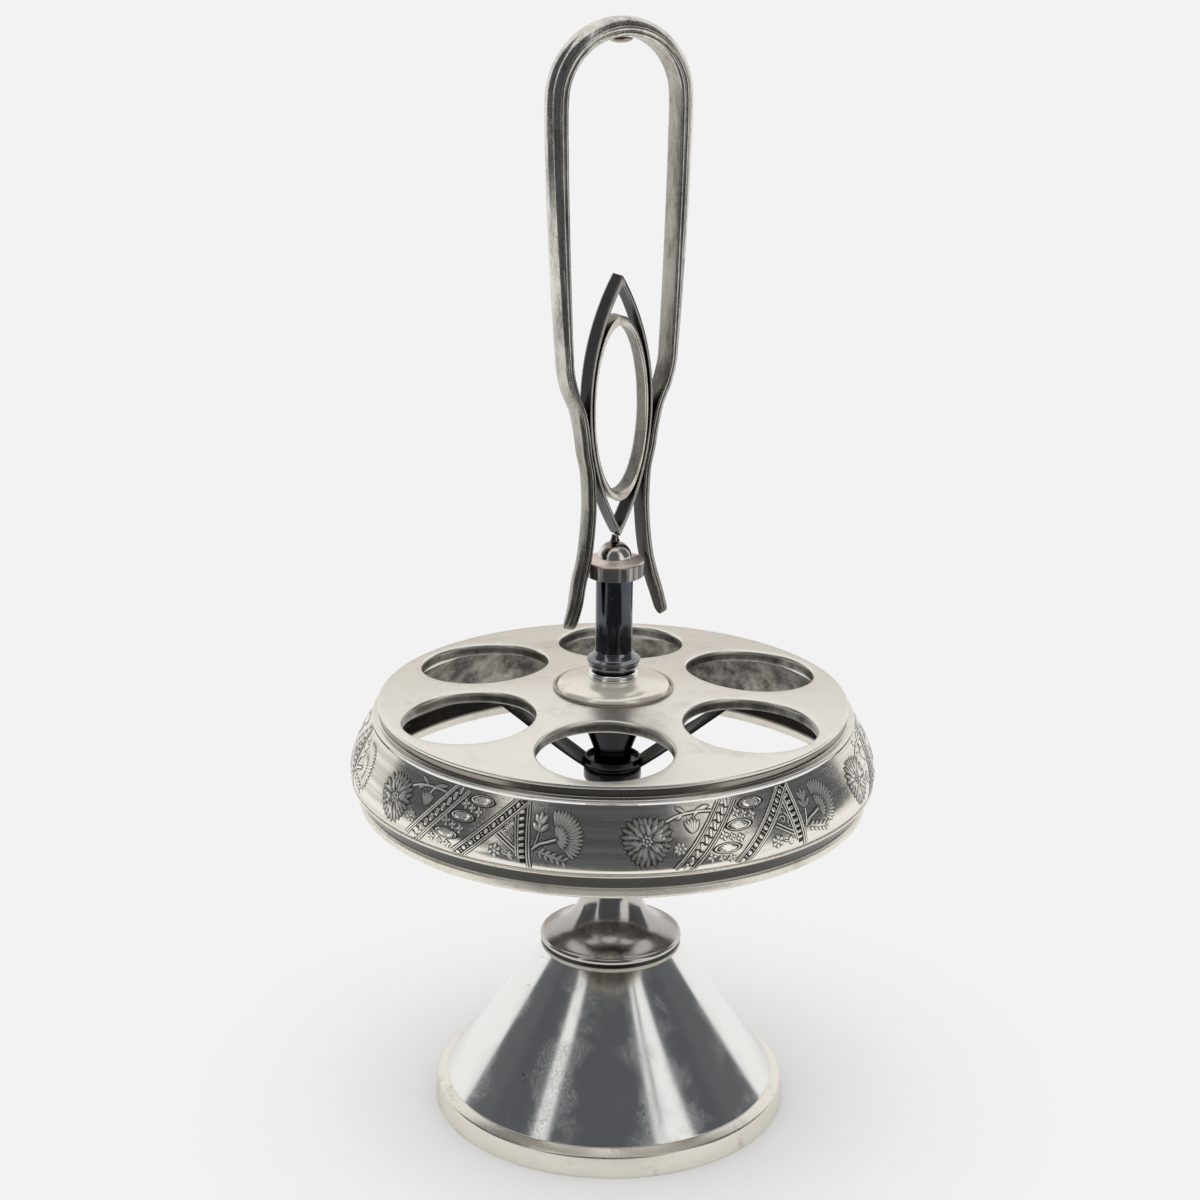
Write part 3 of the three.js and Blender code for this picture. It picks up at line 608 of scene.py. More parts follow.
def seam_plate():
    return plate_finish("Seam plate", (0.5, 0.46, 0.39), (0.2, 0.17, 0.14), 0.3, stains=0.35,
                        scratches=0.3)


def mirror_plate():
    return plate_finish("Polished plate", finishes().mirror, (0.62, 0.61, 0.6), 0.12, stain_scale=34,
                        stains=0.05, scratches=0.6, pits=0.04, pit_scale=420, rough_spread=0.03)


def stem_plate():
    return plate_finish("Stem plate", (0.6, 0.57, 0.54), (0.35, 0.32, 0.3), 0.1, stain_scale=60,
                        stains=0.15, pits=0.1, rough_spread=0.05, shade=shade_stem)


def column_plate():
    return plate_finish("Column plate", (0.26, 0.26, 0.28), (0.1, 0.1, 0.1), 0.08, stains=0.25, pits=0.3,
                        pit_scale=900, rough_spread=0.05)


def tube_plate():
    return plate_finish("Tube plate", (0.085, 0.09, 0.11), (0.26, 0.24, 0.2), 0.07, stain_scale=170,
                        stains=0.16, pits=0.4, pit_scale=1000, rough_spread=0.05, grain=0.5,
                        speck=(0.62, 0.62, 0.66))


def handle_plate():
    return plate_finish("Handle plate", finishes().handle, (0.13, 0.115, 0.1), 0.07, stain_scale=150,
                        stains=0.5, scratches=0.6, pits=0.3, pit_scale=1100, grain=0.3,
                        shade=shade_handle)


def pip_plate():
    return plate_finish("Pip plate", (0.46, 0.37, 0.33), (0.16, 0.13, 0.12), 0.14, stain_scale=300,
                        stains=0.4, scratches=0.4, pits=0.4, pit_scale=1400)


def blackened_plate():
    return plate_finish("Blackened plate", finishes().blackened, (0.02, 0.018, 0.016), 0.16,
                        stain_scale=90)


# Its raised tint paints shade: the frame's walls nearly black, its faces and edges lighter.
def frame_plate():
    return plate_finish("Frame plate", (0.5, 0.49, 0.47), (0.2, 0.18, 0.16), 0.12, stain_scale=140,
                        pits=0.25, pit_scale=1100,
                        shade=shade_raised((0.045, 0.046, 0.053), (0.7, 0.68, 0.65), 0.0))


def oval_plate():
    return plate_finish("Oval ring plate", (0.27, 0.26, 0.24), (0.08, 0.075, 0.07), 0.16,
                        stain_scale=190, stains=0.42, scratches=0.4, pits=0.45, pit_scale=1300,
                        shade=shade_raised((0.8, 0.79, 0.76), (2.6, 2.5, 2.4), 0.0))


def band_ground():
    return plate_finish("Band ground", finishes().ground, (0.45, 0.42, 0.38), 0.13, stain_scale=55,
                        stains=0.1, spun=0.8, spun_fineness=700, pits=0.1, pit_scale=800,
                        shade=shade_skirt)


def worn_relief():
    return plate_finish("Worn relief", (0.95, 0.92, 0.84), (0.42, 0.38, 0.33), 0.15, stain_scale=200,
                        stains=0.25, scratches=0.4, pits=0.0, metal=0.88,
                        shade=shade_raised((0.05, 0.047, 0.042), (1.0, 1.0, 1.0), 0.12))


def bronzed_cap():
    return plate_finish("Cap worn to the metal", finishes().bronzed, (0.4, 0.29, 0.24), 0.3,
                        stain_scale=160, stains=0.25, spun=0.4, scratches=0.6, metal=0.75,
                        shade=shade_cap)


def bronzed_nut():
    return plate_finish("Nut worn to the metal", (0.3, 0.22, 0.19), (0.08, 0.06, 0.05), 0.2,
                        stain_scale=300, stains=0.4, scratches=0.6, shade=shade_nut)


def bare_brass():
    return plate_finish("Bare brass", (0.5, 0.4, 0.22), (0.2, 0.15, 0.09), 0.38, stain_scale=60.0,
                        stains=0.5, spun=0.6, scratches=0.3, pits=0.0)


def dark_steel():
    return plate_finish("Dark steel", (0.3, 0.28, 0.26), (0.16, 0.09, 0.05), 0.42, stain_scale=150,
                        stains=0.5, scratches=0.3, pits=0.5)


# Sizes and colours


class CruetFoot(PropertyGroup):
    edge_fillet: FloatProperty(name="Edge fillet", description="Rounding of the foot ring's outer edges",
                               default=0.0011, unit="LENGTH")
    facets: IntProperty(name="Facets", description="Facets round the foot", default=256, min=32)


class CruetTray(PropertyGroup):
    mouth_fillet: FloatProperty(name="Mouth fillet", description="Rounding where the plate turns into a hole",
                                default=0.001, unit="LENGTH")
    turn: FloatProperty(name="Turn", description="Where the first hole stands from the front",
                        default=math.radians(-2.6), subtype="ANGLE")
    repeats: IntProperty(name="Repeats", description="How often the ornament repeats", default=6, min=1)
    pattern_turn: FloatProperty(name="Pattern turn", description="Where the ornament's first flower stands",
                                default=math.radians(-82.8), subtype="ANGLE")


class CruetHandle(PropertyGroup):
    turn: FloatProperty(name="Turn", description="Handle's plane from the left and right line",
                        default=math.radians(32), subtype="ANGLE")
    reed_depth: FloatProperty(name="Reed depth", description="Depth of the grooves along the band's edges",
                              default=0.00042, unit="LENGTH")


class CruetFinish(PropertyGroup):
    satin: FloatVectorProperty(name="Satin plate", description="Plate and ledge", subtype="COLOR",
                               default=(0.9, 0.87, 0.8))
    mirror: FloatVectorProperty(name="Polished plate", description="Cone and the dome's ring",
                                subtype="COLOR", default=(0.9, 0.9, 0.87))
    handle: FloatVectorProperty(name="Handle plate", description="Handle band", subtype="COLOR",
                                default=(0.78, 0.76, 0.71))
    blackened: FloatVectorProperty(name="Blackened plate", description="Hub, head and washers",
                                   subtype="COLOR", default=(0.04, 0.04, 0.045))
    ground: FloatVectorProperty(name="Band ground", description="Ground behind the ornament", subtype="COLOR",
                                default=(0.95, 0.91, 0.83))
    bronzed: FloatVectorProperty(name="Worn plate", description="Cap, where the plate is worn through",
                                 subtype="COLOR", default=(0.82, 0.7, 0.62))


class CruetStage(PropertyGroup):
    background: FloatVectorProperty(name="Background", description="Colour behind it", subtype="COLOR",
                                    default=(0.887, 0.887, 0.887))
    floor_light: FloatProperty(name="Floor light", description="Even light that falls on the floor",
                               default=1.05, min=0)
    lamp_power: FloatProperty(name="Lamp power", description="Strength of the overhead lamp", default=2.5)


# Foot and pedestal


class BuildFoot(Operator):
    """Turns the foot ring, the open cone and the flat collar"""

    bl_idname = "cruet.build_foot"
    bl_label = "Foot"

    def execute(self, context):
        settings = context.scene.cruet_foot
        turned_piece("foot_ring", rounded([
            (58.2, 0, 0.3), (67.15, 0, 0.5), (66.9, 1.6, 0.5), (65.9, 7.75, settings.edge_fillet / MM),
            (62.5, 9.68, 0.15), (60.1, 9.68, 0), (58.2, 2.2, 0.3),
        ]), settings.facets, "stand", "silver_satin", foot_plate())
        turned_piece("foot_cone", rounded([
            (61.1, 9.72, 0), (62.45, 9.72, 0.2), (25.9, 61.95, 0.6), (3.3, 61.95, 0),
            (3.3, 60.8, 0), (25.27, 60.8, 0.4),
        ]), settings.facets, "stand", "silver_polished", mirror_plate())
        turned_piece("collar_ring", rounded([
            (21.0, 62.05, 0), (26.25, 62.05, 0.35), (26.52, 62.9, 0.5), (26.3, 64.95, 0.2), (21.0, 64.95, 0),
        ]), 192, "stand", "silver_satin", collar_plate())
        return {"FINISHED"}


class BuildPedestal(Operator):
    """Turns the flaring stem that rolls over at its foot, and the black head that the tray turns on"""

    bl_idname = "cruet.build_pedestal"
    bl_label = "Pedestal"

    def execute(self, context):
        flare = through([
            (25.63, 67.28), (24.25, 67.64), (21.75, 68.64), (18.55, 70.54), (15.45, 73.64), (12.95, 77.44),
            (11.15, 82.64), (9.9, 92.4), (9.8, 106.0), (10.2, 129.55),
        ], 10)
        wall = through([
            (9.1, 129.55), (8.7, 106.0), (8.8, 92.2), (10.1, 82.2), (12.0, 76.7), (14.7, 72.8), (18.0, 69.6),
            (21.4, 67.6), (24.6, 66.4),
        ], 4)
        outline = [*arc(25.4, 65.95, 1.33, -40, 76, 12), *flare[1:], *wall, (24.8, 65.05), (26.0, 65.05)]
        turned_piece("pedestal_trumpet", outline, 192, "stand", "silver_polished", stem_plate())
        turned_piece("pedestal_head", rounded([
            (3.3, 129.6, 0), (10.7, 129.6, 0.9), (10.7, 134.0, 0.9), (3.3, 134.0, 0),
        ]), 128, "stand", "silver_dark", blackened_plate())
        return {"FINISHED"}


# Tray


def plate_top(r):
    """Height of the plate's top face at a distance from the axis."""
    return PLATE_Z + PLATE_SLOPE * (PLATE_R - r)


def hole_centres(turn):
    """Middles of the six bottle holes."""
    return [ray(turn - math.pi / 2 + i * math.pi / 3) * HOLE_RING_R for i in range(6)]


def holed_sheet(turn, outer_r, bore_r, hole_r):
    """A flat sheet with six holes: its points, its triangles, and the loops round its edges."""
    centres = hole_centres(turn)
    loops = [circle((0, 0), outer_r, TRAY_FACETS), circle((0, 0), bore_r, HOLE_FACETS)]
    loops += [circle(c, hole_r, HOLE_FACETS) for c in centres]
    points = []
    edges = []
    index_loops = []
    for loop in loops:
        start = len(points)
        points += loop
        index_loops.append(list(range(start, len(points))))
        edges += [(start + k, start + (k + 1) % len(loop)) for k in range(len(loop))]
    pitch, clear = 3.0, 1.3
    reach = int(outer_r / pitch) + 3
    for i in range(-reach, reach + 1):
        for j in range(-reach, reach + 1):
            p = Vector(((i + 0.5 * (j % 2)) * pitch, j * pitch * 0.866))
            if bore_r + clear < p.length < outer_r - clear:
                if all((p - c).length > hole_r + clear for c in centres):
                    points.append(p)
    made, _, triangles, _, _, _ = delaunay_2d_cdt(points, edges, [], 0, 1e-6)
    kept = []
    for triangle in triangles:
        middle = sum((made[v] for v in triangle), Vector((0, 0))) / 3
        inside = any((middle - c).length < hole_r * 0.999 for c in centres)
        if not inside and middle.length > bore_r * 0.999:
            kept.append(list(triangle))
    return [Vector(p) for p in made], kept, index_loops, centres


def plate_mesh(turn, mouth):
    """The plate with its six drawn-down holes, as one closed mesh."""
    edge_r, wall_thick, root = 85.95, 1.1, 0.5
    top, top_faces, top_loops, centres = holed_sheet(turn, edge_r, 15.2, HOLE_R + mouth)
    low, low_faces, low_loops, _ = holed_sheet(turn, 85.9, 15.4, HOLE_R + wall_thick + root)
    points = [(p.x, p.y, plate_top(p.length)) for p in top]
    shift = len(points)
    points += [(p.x, p.y, plate_top(p.length) - PLATE_THICK) for p in low]
    faces = top_faces + [[shift + v for v in reversed(f)] for f in low_faces]

    def wall(upper, lower):
        faces.extend([a, d, c, b] for a, b, c, d in between(upper, lower))

    def add_ring(ring):
        start = len(points)
        points.extend(ring)
        return list(range(start, len(points)))

    edge = top_loops[0]
    for r, drop in ((86.15, 0.06), (86.27, 0.2), (86.3, 0.45), (86.3, 1.0), (86.2, 1.3)):
        ring = add_ring([(p.x, p.y, plate_top(edge_r) - drop) for p in circle((0, 0), r, TRAY_FACETS)])
        wall(edge, ring)
        edge = ring
    wall(edge, [shift + v for v in low_loops[0]])
    wall([shift + v for v in low_loops[1]], top_loops[1])
    profile = []
    for degrees in (18, 36, 54, 72, 90):
        a = math.radians(degrees)
        profile.append((mouth * (1 - math.sin(a)), mouth * (1 - math.cos(a))))
    profile += [(0, 2.2), (0, 3.2), (0, 4.0), (0.12, 4.3), (0.4, 4.38), (0.75, 4.36), (1.02, 4.2)]
    profile += [(wall_thick, 3.9), (wall_thick, 3.0), (wall_thick, 2.2), (1.2, 1.75), (1.38, 1.5)]
    for centre, upper, lower in zip(centres, top_loops[2:], low_loops[2:]):
        outward = centre.normalized()
        edge = upper
        for grow, drop in profile:
            ring = []
            for p in circle(centre, HOLE_R + grow, HOLE_FACETS):
                flat = plate_top(HOLE_RING_R) - PLATE_SLOPE * (p.dot(outward) - HOLE_RING_R)
                share = min(drop / 3.0, 1.0)
                ring.append((p.x, p.y, plate_top(p.length) * (1 - share) + flat * share - drop))
            ring = add_ring(ring)
            wall(edge, ring)
            edge = ring
        wall(edge, [shift + v for v in lower])
    return mesh_object("tray_plate_drawn", points, faces, 40)


class BuildPlate(Operator):
    """Makes the tray's plate with six drawn-down bottle holes"""

    bl_idname = "cruet.build_plate"
    bl_label = "Tray plate"

    def execute(self, context):
        settings = context.scene.cruet_tray
        plate = plate_mesh(settings.turn, settings.mouth_fillet / MM)
        dress(plate, "tray", "silver_satin", holed_plate(), "tray_plate")
        return {"FINISHED"}


def skirt_curve(t):
    """The skirt's swelling outline, t from its foot to its top."""
    swell = SKIRT_SWELL * math.sin(math.pi * max(t, 0) ** SKIRT_POWER)
    return Vector(SKIRT_FOOT).lerp(Vector(SKIRT_TOP), t) + Vector((swell, 0))


def skirt_point(t, outset):
    """A point of the skirt's outer face, t from its foot to its top, moved out by the outset."""
    along = (skirt_curve(min(t + 0.01, 1)) - skirt_curve(max(t - 0.01, 0))).normalized()
    return skirt_curve(t) + Vector((along.y, -along.x)) * outset


class BuildTrayEdge(Operator):
    """Turns the stepped ledge, the swelling skirt and the rim with bead, cove and lip"""

    bl_idname = "cruet.build_tray_edge"
    bl_label = "Tray edge"

    def execute(self, context):
        turned_piece("tray_ledge", rounded([
            (83.3, 159.3, 0), (85.9, 159.3, 0.1), (85.9, 156.9, 0.5), (88.3, 156.75, 0.5),
            (88.68, 156.2, 0.35), (88.3, 155.5, 0.4), (83.3, 155.5, 0),
        ]), TRAY_FACETS, "tray", "silver_satin", ledge_plate())
        steps = 40
        outer = [tuple(skirt_point(k / steps, -GROUND_DEPTH)) for k in range(steps + 1)]
        inner = [tuple(skirt_point(k / steps, -1.2)) for k in range(steps, -1, -1)]
        turned_piece("tray_skirt", outer + inner, TRAY_FACETS, "tray", "silver_oxidised", band_ground())
        turned_piece("tray_foot_rim", rounded([
            (94.0, 133.3, 0), (95.8, 133.3, 0.1), (96.4, 133.1, 0.3), (96.5, 132.5, 0.4),
            (96.1, 131.95, 0.3), (95.4, 131.7, 0.3), (94.5, 129.9, 1.8), (93.3, 127.3, 0.6),
            (93.1, 126.7, 0.2), (93.75, 126.2, 0.5), (93.8, 124.1, 0.6), (93.0, 123.22, 0.4),
            (92.25, 123.3, 0.3), (91.6, 126.3, 0.5), (92.9, 129.8, 1),
        ]), TRAY_FACETS, "tray", "silver_satin", rim_plate())
        return {"FINISHED"}


# Ornament, laid out flat as (along, up, raised) in millimetres and then bent onto the skirt

BAND_LENGTH = 98.4
BAND_HEIGHT = 22.7
BAND_MARGIN = 0.35
RELIEF = 0.2
SUNK = -0.3
FLAT = 0.1


class Relief:
    """Collects raised figures on the flat band before they are bent round the skirt."""

    def __init__(self):
        self.points = []
        self.faces = []
        self.raised = []

    def row(self, spots):
        """Adds points, each with its own lift, and gives their numbers."""
        start = len(self.points)
        for (u, v), lift in spots:
            v = min(max(v, BAND_MARGIN), BAND_HEIGHT - BAND_MARGIN)
            self.points.append((u, v, RELIEF * lift))
            self.raised.append(max(lift, 0.0))
        return list(range(start, len(self.points)))

    def weave(self, rows):
        """Faces between rows of points."""
        for low, high in zip(rows, rows[1:]):
            self.faces += between(low, high, False)

    def mound(self, outline, centre, edge, levels, border=0.28):
        """A raised figure in a sunk border: the outline drawn in by (share, lift), then a lid."""
        centre = Vector(centre)
        ditch = ((edge + border, SUNK), (edge + border * 0.7, FLAT), (edge - 0.1, FLAT))
        rings = []
        for share, lift in (*ditch, *levels):
            ring = self.row([(centre + (Vector(p) - centre) * share, lift) for p in outline])
            rings.append(ring + ring[:1])
        self.weave(rings)
        self.faces.append(ring)

    def leaf(self, root, angle, length, width, lift=1.0, bend=0.0):
        """A petal or leaf with a ridge along it, pointed at its end."""
        root = Vector(root)
        ahead = ray(angle)
        side = Vector((-ahead.y, ahead.x))
        edge = side * 0.28
        rows = []
        for along, across in ((0.0, 0.15), (0.25, 0.75), (0.55, 1.0), (0.8, 0.7), (1.0, 0.0)):
            spine = root + ahead * (along * length) + side * (bend * along * along)
            ridge = root + ahead * (min(along, 0.94) * length) + side * (bend * along * along)
            half = side * (across * width * 0.62 + 0.05)
            crest = lift * (0.6 + 0.4 * math.sin(math.pi * along))
            rows.append(self.row([(spine + half + edge, SUNK), (spine + half, FLAT), (ridge, crest),
                                  (spine - half, FLAT), (spine - half - edge, SUNK)]))
        self.weave(rows)

    def strip(self, start, end, width, steps, profile):
        """A straight strip with a profile of (share of the width, lift)."""
        start, end = Vector(start), Vector(end)
        side = (end - start).normalized().orthogonal() * width
        rows = []
        for k in range(steps + 1):
            middle = start.lerp(end, k / steps)
            rows.append(self.row([(middle + side * across, level) for across, level in profile]))
        self.weave(rows)

    def line(self, start, end, width):
        """A straight raised line between two sunk ones."""
        near = [(1.7, SUNK), (1.5, FLAT), (0.8, FLAT), (0.35, 1.0)]
        profile = near + [(-across, level) for across, level in reversed(near)]
        steps = max(1, round((Vector(end) - Vector(start)).length))
        self.strip(start, end, width, steps, profile)

    def bed(self, start, end, width):
        """A dark flat strip for small figures to stand on."""
        self.strip(start, end, width, 24, ((1, 0.12), (0, 0.12), (-1, 0.12)))

    def curve(self, points, width):
        """A raised line along a curve."""
        track = through(points, 4)
        for a, b in zip(track, track[1:]):
            self.line(a, b, width)

    def bead(self, centre, radius, lift=1.0):
        self.mound(circle(centre, radius, 10), centre, 1.25, ((0.8, lift * 0.75), (0.4, lift)))

    def block(self, centre, angle, length, width):
        """A small rounded block."""
        spin = Matrix.Rotation(angle, 2)
        corners = rectangle(length / 2, width / 2, 0.3, 1)
        outline = [Vector(centre) + spin @ Vector(p) for p in corners]
        self.mound(outline, centre, 1.2, ((0.9, 1.0), (0.5, 1.0)), 0.3)

    def eye(self, centre, half_length, half_width):
        """A pointed oval outline round a plain lens."""
        outline = []
        for k in range(20):
            a = 2 * math.pi * k / 20
            pinch = math.copysign(abs(math.sin(a)) ** 1.3, math.sin(a))
            outline.append((centre[0] + half_length * math.cos(a), centre[1] + half_width * pinch))
        levels = ((1.0, 1.0), (0.9, 1.0), (0.84, FLAT), (0.76, FLAT), (0.7, 0.9), (0.3, 1.0))
        self.mound(outline, centre, 1.12, levels, 0.1)

    def star(self, centre, size, turn):
        """Four pointed rays."""
        for k in range(4):
            self.leaf(centre, turn + k * math.pi / 2, size, size * 0.7)

    def flower(self, centre, radius, petals, turn=0.0):
        for k in range(petals):
            a = turn + 2 * math.pi * k / petals
            self.leaf(Vector(centre) + ray(a) * radius * 0.2, a, radius * 0.8, radius * 0.62, 0.9)
        self.bead(centre, radius * 0.24)

    def double_lines(self, foot, top, offsets):
        """Pairs of raised lines along both sides of a slanting band."""
        side = (top - foot).normalized().orthogonal()
        for offset, width in (*offsets, *((-offset, width) for offset, width in reversed(offsets))):
            self.line(foot + side * offset, top + side * offset, width)


def aster(relief):
    """A full flower head: three rounds of pointed petals about a ring of beads."""
    centre = (0.0, 11.4)
    rounds = ((24, 4.2, 8.9, 2.0, 0.6), (14, 2.4, 6.4, 1.9, 0.85), (6, 1.8, 5.2, 1.9, 1.0))
    for count, inner, outer, width, lift in rounds:
        for k in range(count):
            a = 2 * math.pi * (k + 0.3 * lift) / count
            reach = outer - inner + 0.8 * math.sin(3 * a)
            relief.leaf(Vector(centre) + ray(a) * inner, a, reach, width, lift, 0.4 * math.sin(5 * a))
    for k in range(7):
        relief.bead(Vector(centre) + ray(2 * math.pi * k / 7) * 1.3, 0.45)
    relief.bead(centre, 0.5)


def sprig(relief):
    """A stem from the flower head with leaves, a hanging bud and a small flower."""
    relief.curve([(7.0, 17.3), (10.0, 18.5), (13.5, 19.2), (18.7, 19.6), (23.6, 19.4)], 0.45)
    for root, turn, length in (((14.2, 19.6), 155, 4.6), ((13.0, 19.0), 205, 3.4), ((17.5, 20.1), 10, 6.0)):
        relief.leaf(root, math.radians(turn), length, 1.4)
    relief.curve([(18.4, 19.4), (17.2, 18.8), (16.4, 17.4)], 0.4)
    for turn in (56, 73, 90, 107, 124):
        relief.leaf((15.8, 12.9), math.radians(turn), 5.2, 1.7, 0.9)
    relief.flower((10.8, 8.3), 2.5, 7)


def ladder_band(relief):
    """A slanting band of leaning blocks between double lines."""
    foot, top = Vector((11.0, -0.5)), Vector((31.4, 23.4))
    relief.double_lines(foot, top, ((2.8, 0.42), (2.0, 0.34)))
    for k in range(10):
        relief.block(foot.lerp(top, (k + 1.0) / 11), math.radians(80), 2.6, 1.2)


def oval_field(relief):
    """Pointed ovals with rows of small stars between them."""
    for centre in ((27.5, 6.7), (32.9, 13.6), (39.2, 19.6)):
        relief.eye(centre, 4.7, 1.75)
    rows = (((21.6, 4.0), (25.2, 3.3), (28.6, 2.9)), ((26.7, 11.0), (29.7, 10.2), (32.7, 9.5)),
            ((32.8, 17.7), (35.7, 16.8), (38.7, 16.0)))
    for row in rows:
        for centre, size in zip(row, (1.9, 1.5, 1.8)):
            relief.star(centre, size, 0.2)


def bead_band(relief):
    """A slanting band of beads and short bars between double lines."""
    foot, top = Vector((31.6, -0.5)), Vector((56.0, 23.4))
    side = (top - foot).normalized().orthogonal()
    relief.bed(foot, top, 1.2)
    relief.double_lines(foot, top, ((2.05, 0.4), (1.35, 0.32)))
    for k in range(9):
        relief.bead(foot.lerp(top, (k + 0.6) / 9.8), 0.85)
        for across in (-0.45, 0.45):
            relief.bead(foot.lerp(top, (k + 1.1) / 9.8) + side * across, 0.34, 0.8)


def beaded_triangle(relief):
    """A beaded strip and a short leg that close a triangle with a scroll in it."""
    relief.bed((54.9, 20.4), (57.7, 2.0), 1.3)
    lines = (((57.3, 22.6), (60.0, 0.4)), ((56.5, 22.0), (59.1, 0.4)), ((53.7, 18.4), (55.9, 3.2)),
             ((52.8, 17.6), (55.0, 4.2)), ((46.9, 10.4), (54.6, 5.6)), ((47.8, 11.2), (54.4, 7.0)))
    for start, end in lines:
        relief.line(start, end, 0.4)
    for k in range(8):
        relief.block(Vector((54.9, 18.6)).lerp(Vector((57.0, 4.2)), k / 7), math.radians(8), 1.9, 0.95)
    relief.curve([(48.9, 12.2), (50.0, 13.0), (51.2, 12.7), (51.4, 11.5), (50.4, 11.1), (50.0, 11.9)], 0.34)
    relief.curve([(51.8, 14.0), (52.7, 12.8), (52.9, 11.2), (52.2, 10.0)], 0.34)
    for centre in ((50.6, 14.4), (51.9, 15.6), (52.9, 9.2)):
        relief.bead(centre, 0.4, 0.8)
    relief.flower((47.2, 5.0), 2.8, 6, 0.5)
    relief.curve([(49.8, 4.6), (51.0, 4.2), (52.2, 3.9)], 0.35)
    for turn in (60, 10, -35):
        relief.leaf((52.0, 3.9), math.radians(turn), 2.3, 1.5)


def fan_flower(relief):
    """A half-open flower head on a stem, its petals spread like a fan, with two lobed leaves."""
    base = Vector((68.0, 11.5))
    for k in range(17):
        a = math.radians(98 - 9 * k)
        relief.leaf(base + ray(a) * 4.0, a, 5.2 + 0.7 * math.cos(a - 0.3), 1.5, 0.9, 0.4 * math.cos(a))
    for k in range(9):
        a = math.radians(88 - 17 * k)
        relief.leaf(base + ray(a) * 0.9, a, 3.6, 1.3)
    relief.curve([(60.2, 7.3), (62.4, 9.2), (65.2, 10.2), (68.0, 11.2)], 0.6)
    relief.curve([(60.8, 8.2), (61.4, 10.4), (61.9, 12.8)], 0.4)
    lobes = (((61.9, 12.6), 86, 7.6), ((62.0, 13.2), 132, 3.9), ((62.2, 13.2), 42, 4.1),
             ((62.1, 15.4), 120, 4.0), ((62.3, 15.4), 55, 4.0))
    for root, turn, length in lobes:
        relief.leaf(root, math.radians(turn), length, 1.8)
    relief.leaf((61.0, 7.2), math.radians(-16), 11.0, 1.4)
    for k in range(5):
        spot = (62.6 + 2.0 * k, 6.7 - 0.58 * k)
        relief.leaf(spot, math.radians(32), 2.6, 1.4, 0.9)
        relief.leaf(spot, math.radians(-70), 2.4, 1.4, 0.9)


def bent_panel(relief):
    """The flat figures bent round one stretch of the skirt."""
    points = []
    for u, v, lift in relief.points:
        place = skirt_point(v / BAND_HEIGHT, lift - GROUND_DEPTH)
        a = u / BAND_LENGTH * math.pi / 3
        points.append((place.x * math.cos(a), place.x * math.sin(a), place.y))
    return mesh_object("ornament_panel", points, relief.faces, 50, relief.raised, solid=False)


def ring_array_tree():
    """Repeats a mesh round the upright axis and gives the copies one material."""
    tree = bpy.data.node_groups.new("Ring array", "GeometryNodeTree")
    for label, kind in (("Geometry", "NodeSocketGeometry"), ("Count", "NodeSocketInt"),
                        ("Start", "NodeSocketFloat"), ("Material", "NodeSocketMaterial")):
        tree.interface.new_socket(label, in_out="INPUT", socket_type=kind)
    tree.interface.new_socket("Geometry", in_out="OUTPUT", socket_type="NodeSocketGeometry")
    given = outputs(add(tree, "NodeGroupInput"))
    index = worked(tree, "GeometryNodeInputIndex", {})
    angle = index * calc("DIVIDE", 2 * math.pi, given["Count"]) + given["Start"]
    spin = worked(tree, "ShaderNodeCombineXYZ", {"Z": angle})
    spots = worked(tree, "GeometryNodeMeshLine", {"Count": given["Count"], "Offset": (0, 0, 0)})
    copies = worked(tree, "GeometryNodeInstanceOnPoints", {
        "Points": spots, "Instance": given["Geometry"],
        "Rotation": worked(tree, "FunctionNodeEulerToRotation", {0: spin}),
    })
    real = worked(tree, "GeometryNodeRealizeInstances", {0: copies})
    paint = {"Geometry": real, "Material": given["Material"]}
    sink = add(tree, "NodeGroupOutput")
    feed(sink.inputs[0], worked(tree, "GeometryNodeSetMaterial", paint))
    return tree


def ring_array(obj, name, count, start, material):
    """The object repeated round the axis, as a new plain mesh object; the first one is dropped."""
    tree = ring_array_tree()
    modifier = obj.modifiers.new("Ring array", "NODES")
    modifier.node_group = tree
    values = {"Count": count, "Start": start, "Material": material}
    for item in tree.interface.items_tree:
        if item.in_out == "INPUT" and item.name in values:
            modifier[item.identifier] = values[item.name]
    graph = bpy.context.evaluated_depsgraph_get()
    mesh = bpy.data.meshes.new_from_object(obj.evaluated_get(graph))
    mesh.name = name
    obj.modifiers.remove(modifier)
    bpy.data.objects.remove(obj)
    return linked(name, mesh)


class BuildOrnament(Operator):
    """Raises the flowers, slanting bands and ovals on the skirt, and repeats them round it"""

    bl_idname = "cruet.build_ornament"
    bl_label = "Ornament"

    def execute(self, context):
        settings = context.scene.cruet_tray
        relief = Relief()
        for figure in (aster, sprig, ladder_band, oval_field, bead_band, beaded_triangle, fan_flower):
            figure(relief)
        panel = bent_panel(relief)
        band = ring_array(panel, "tray_skirt_ornament", settings.repeats, settings.pattern_turn,
                          worn_relief())
        dress(band, "tray", "silver_oxidised", worn_relief())
        return {"FINISHED"}


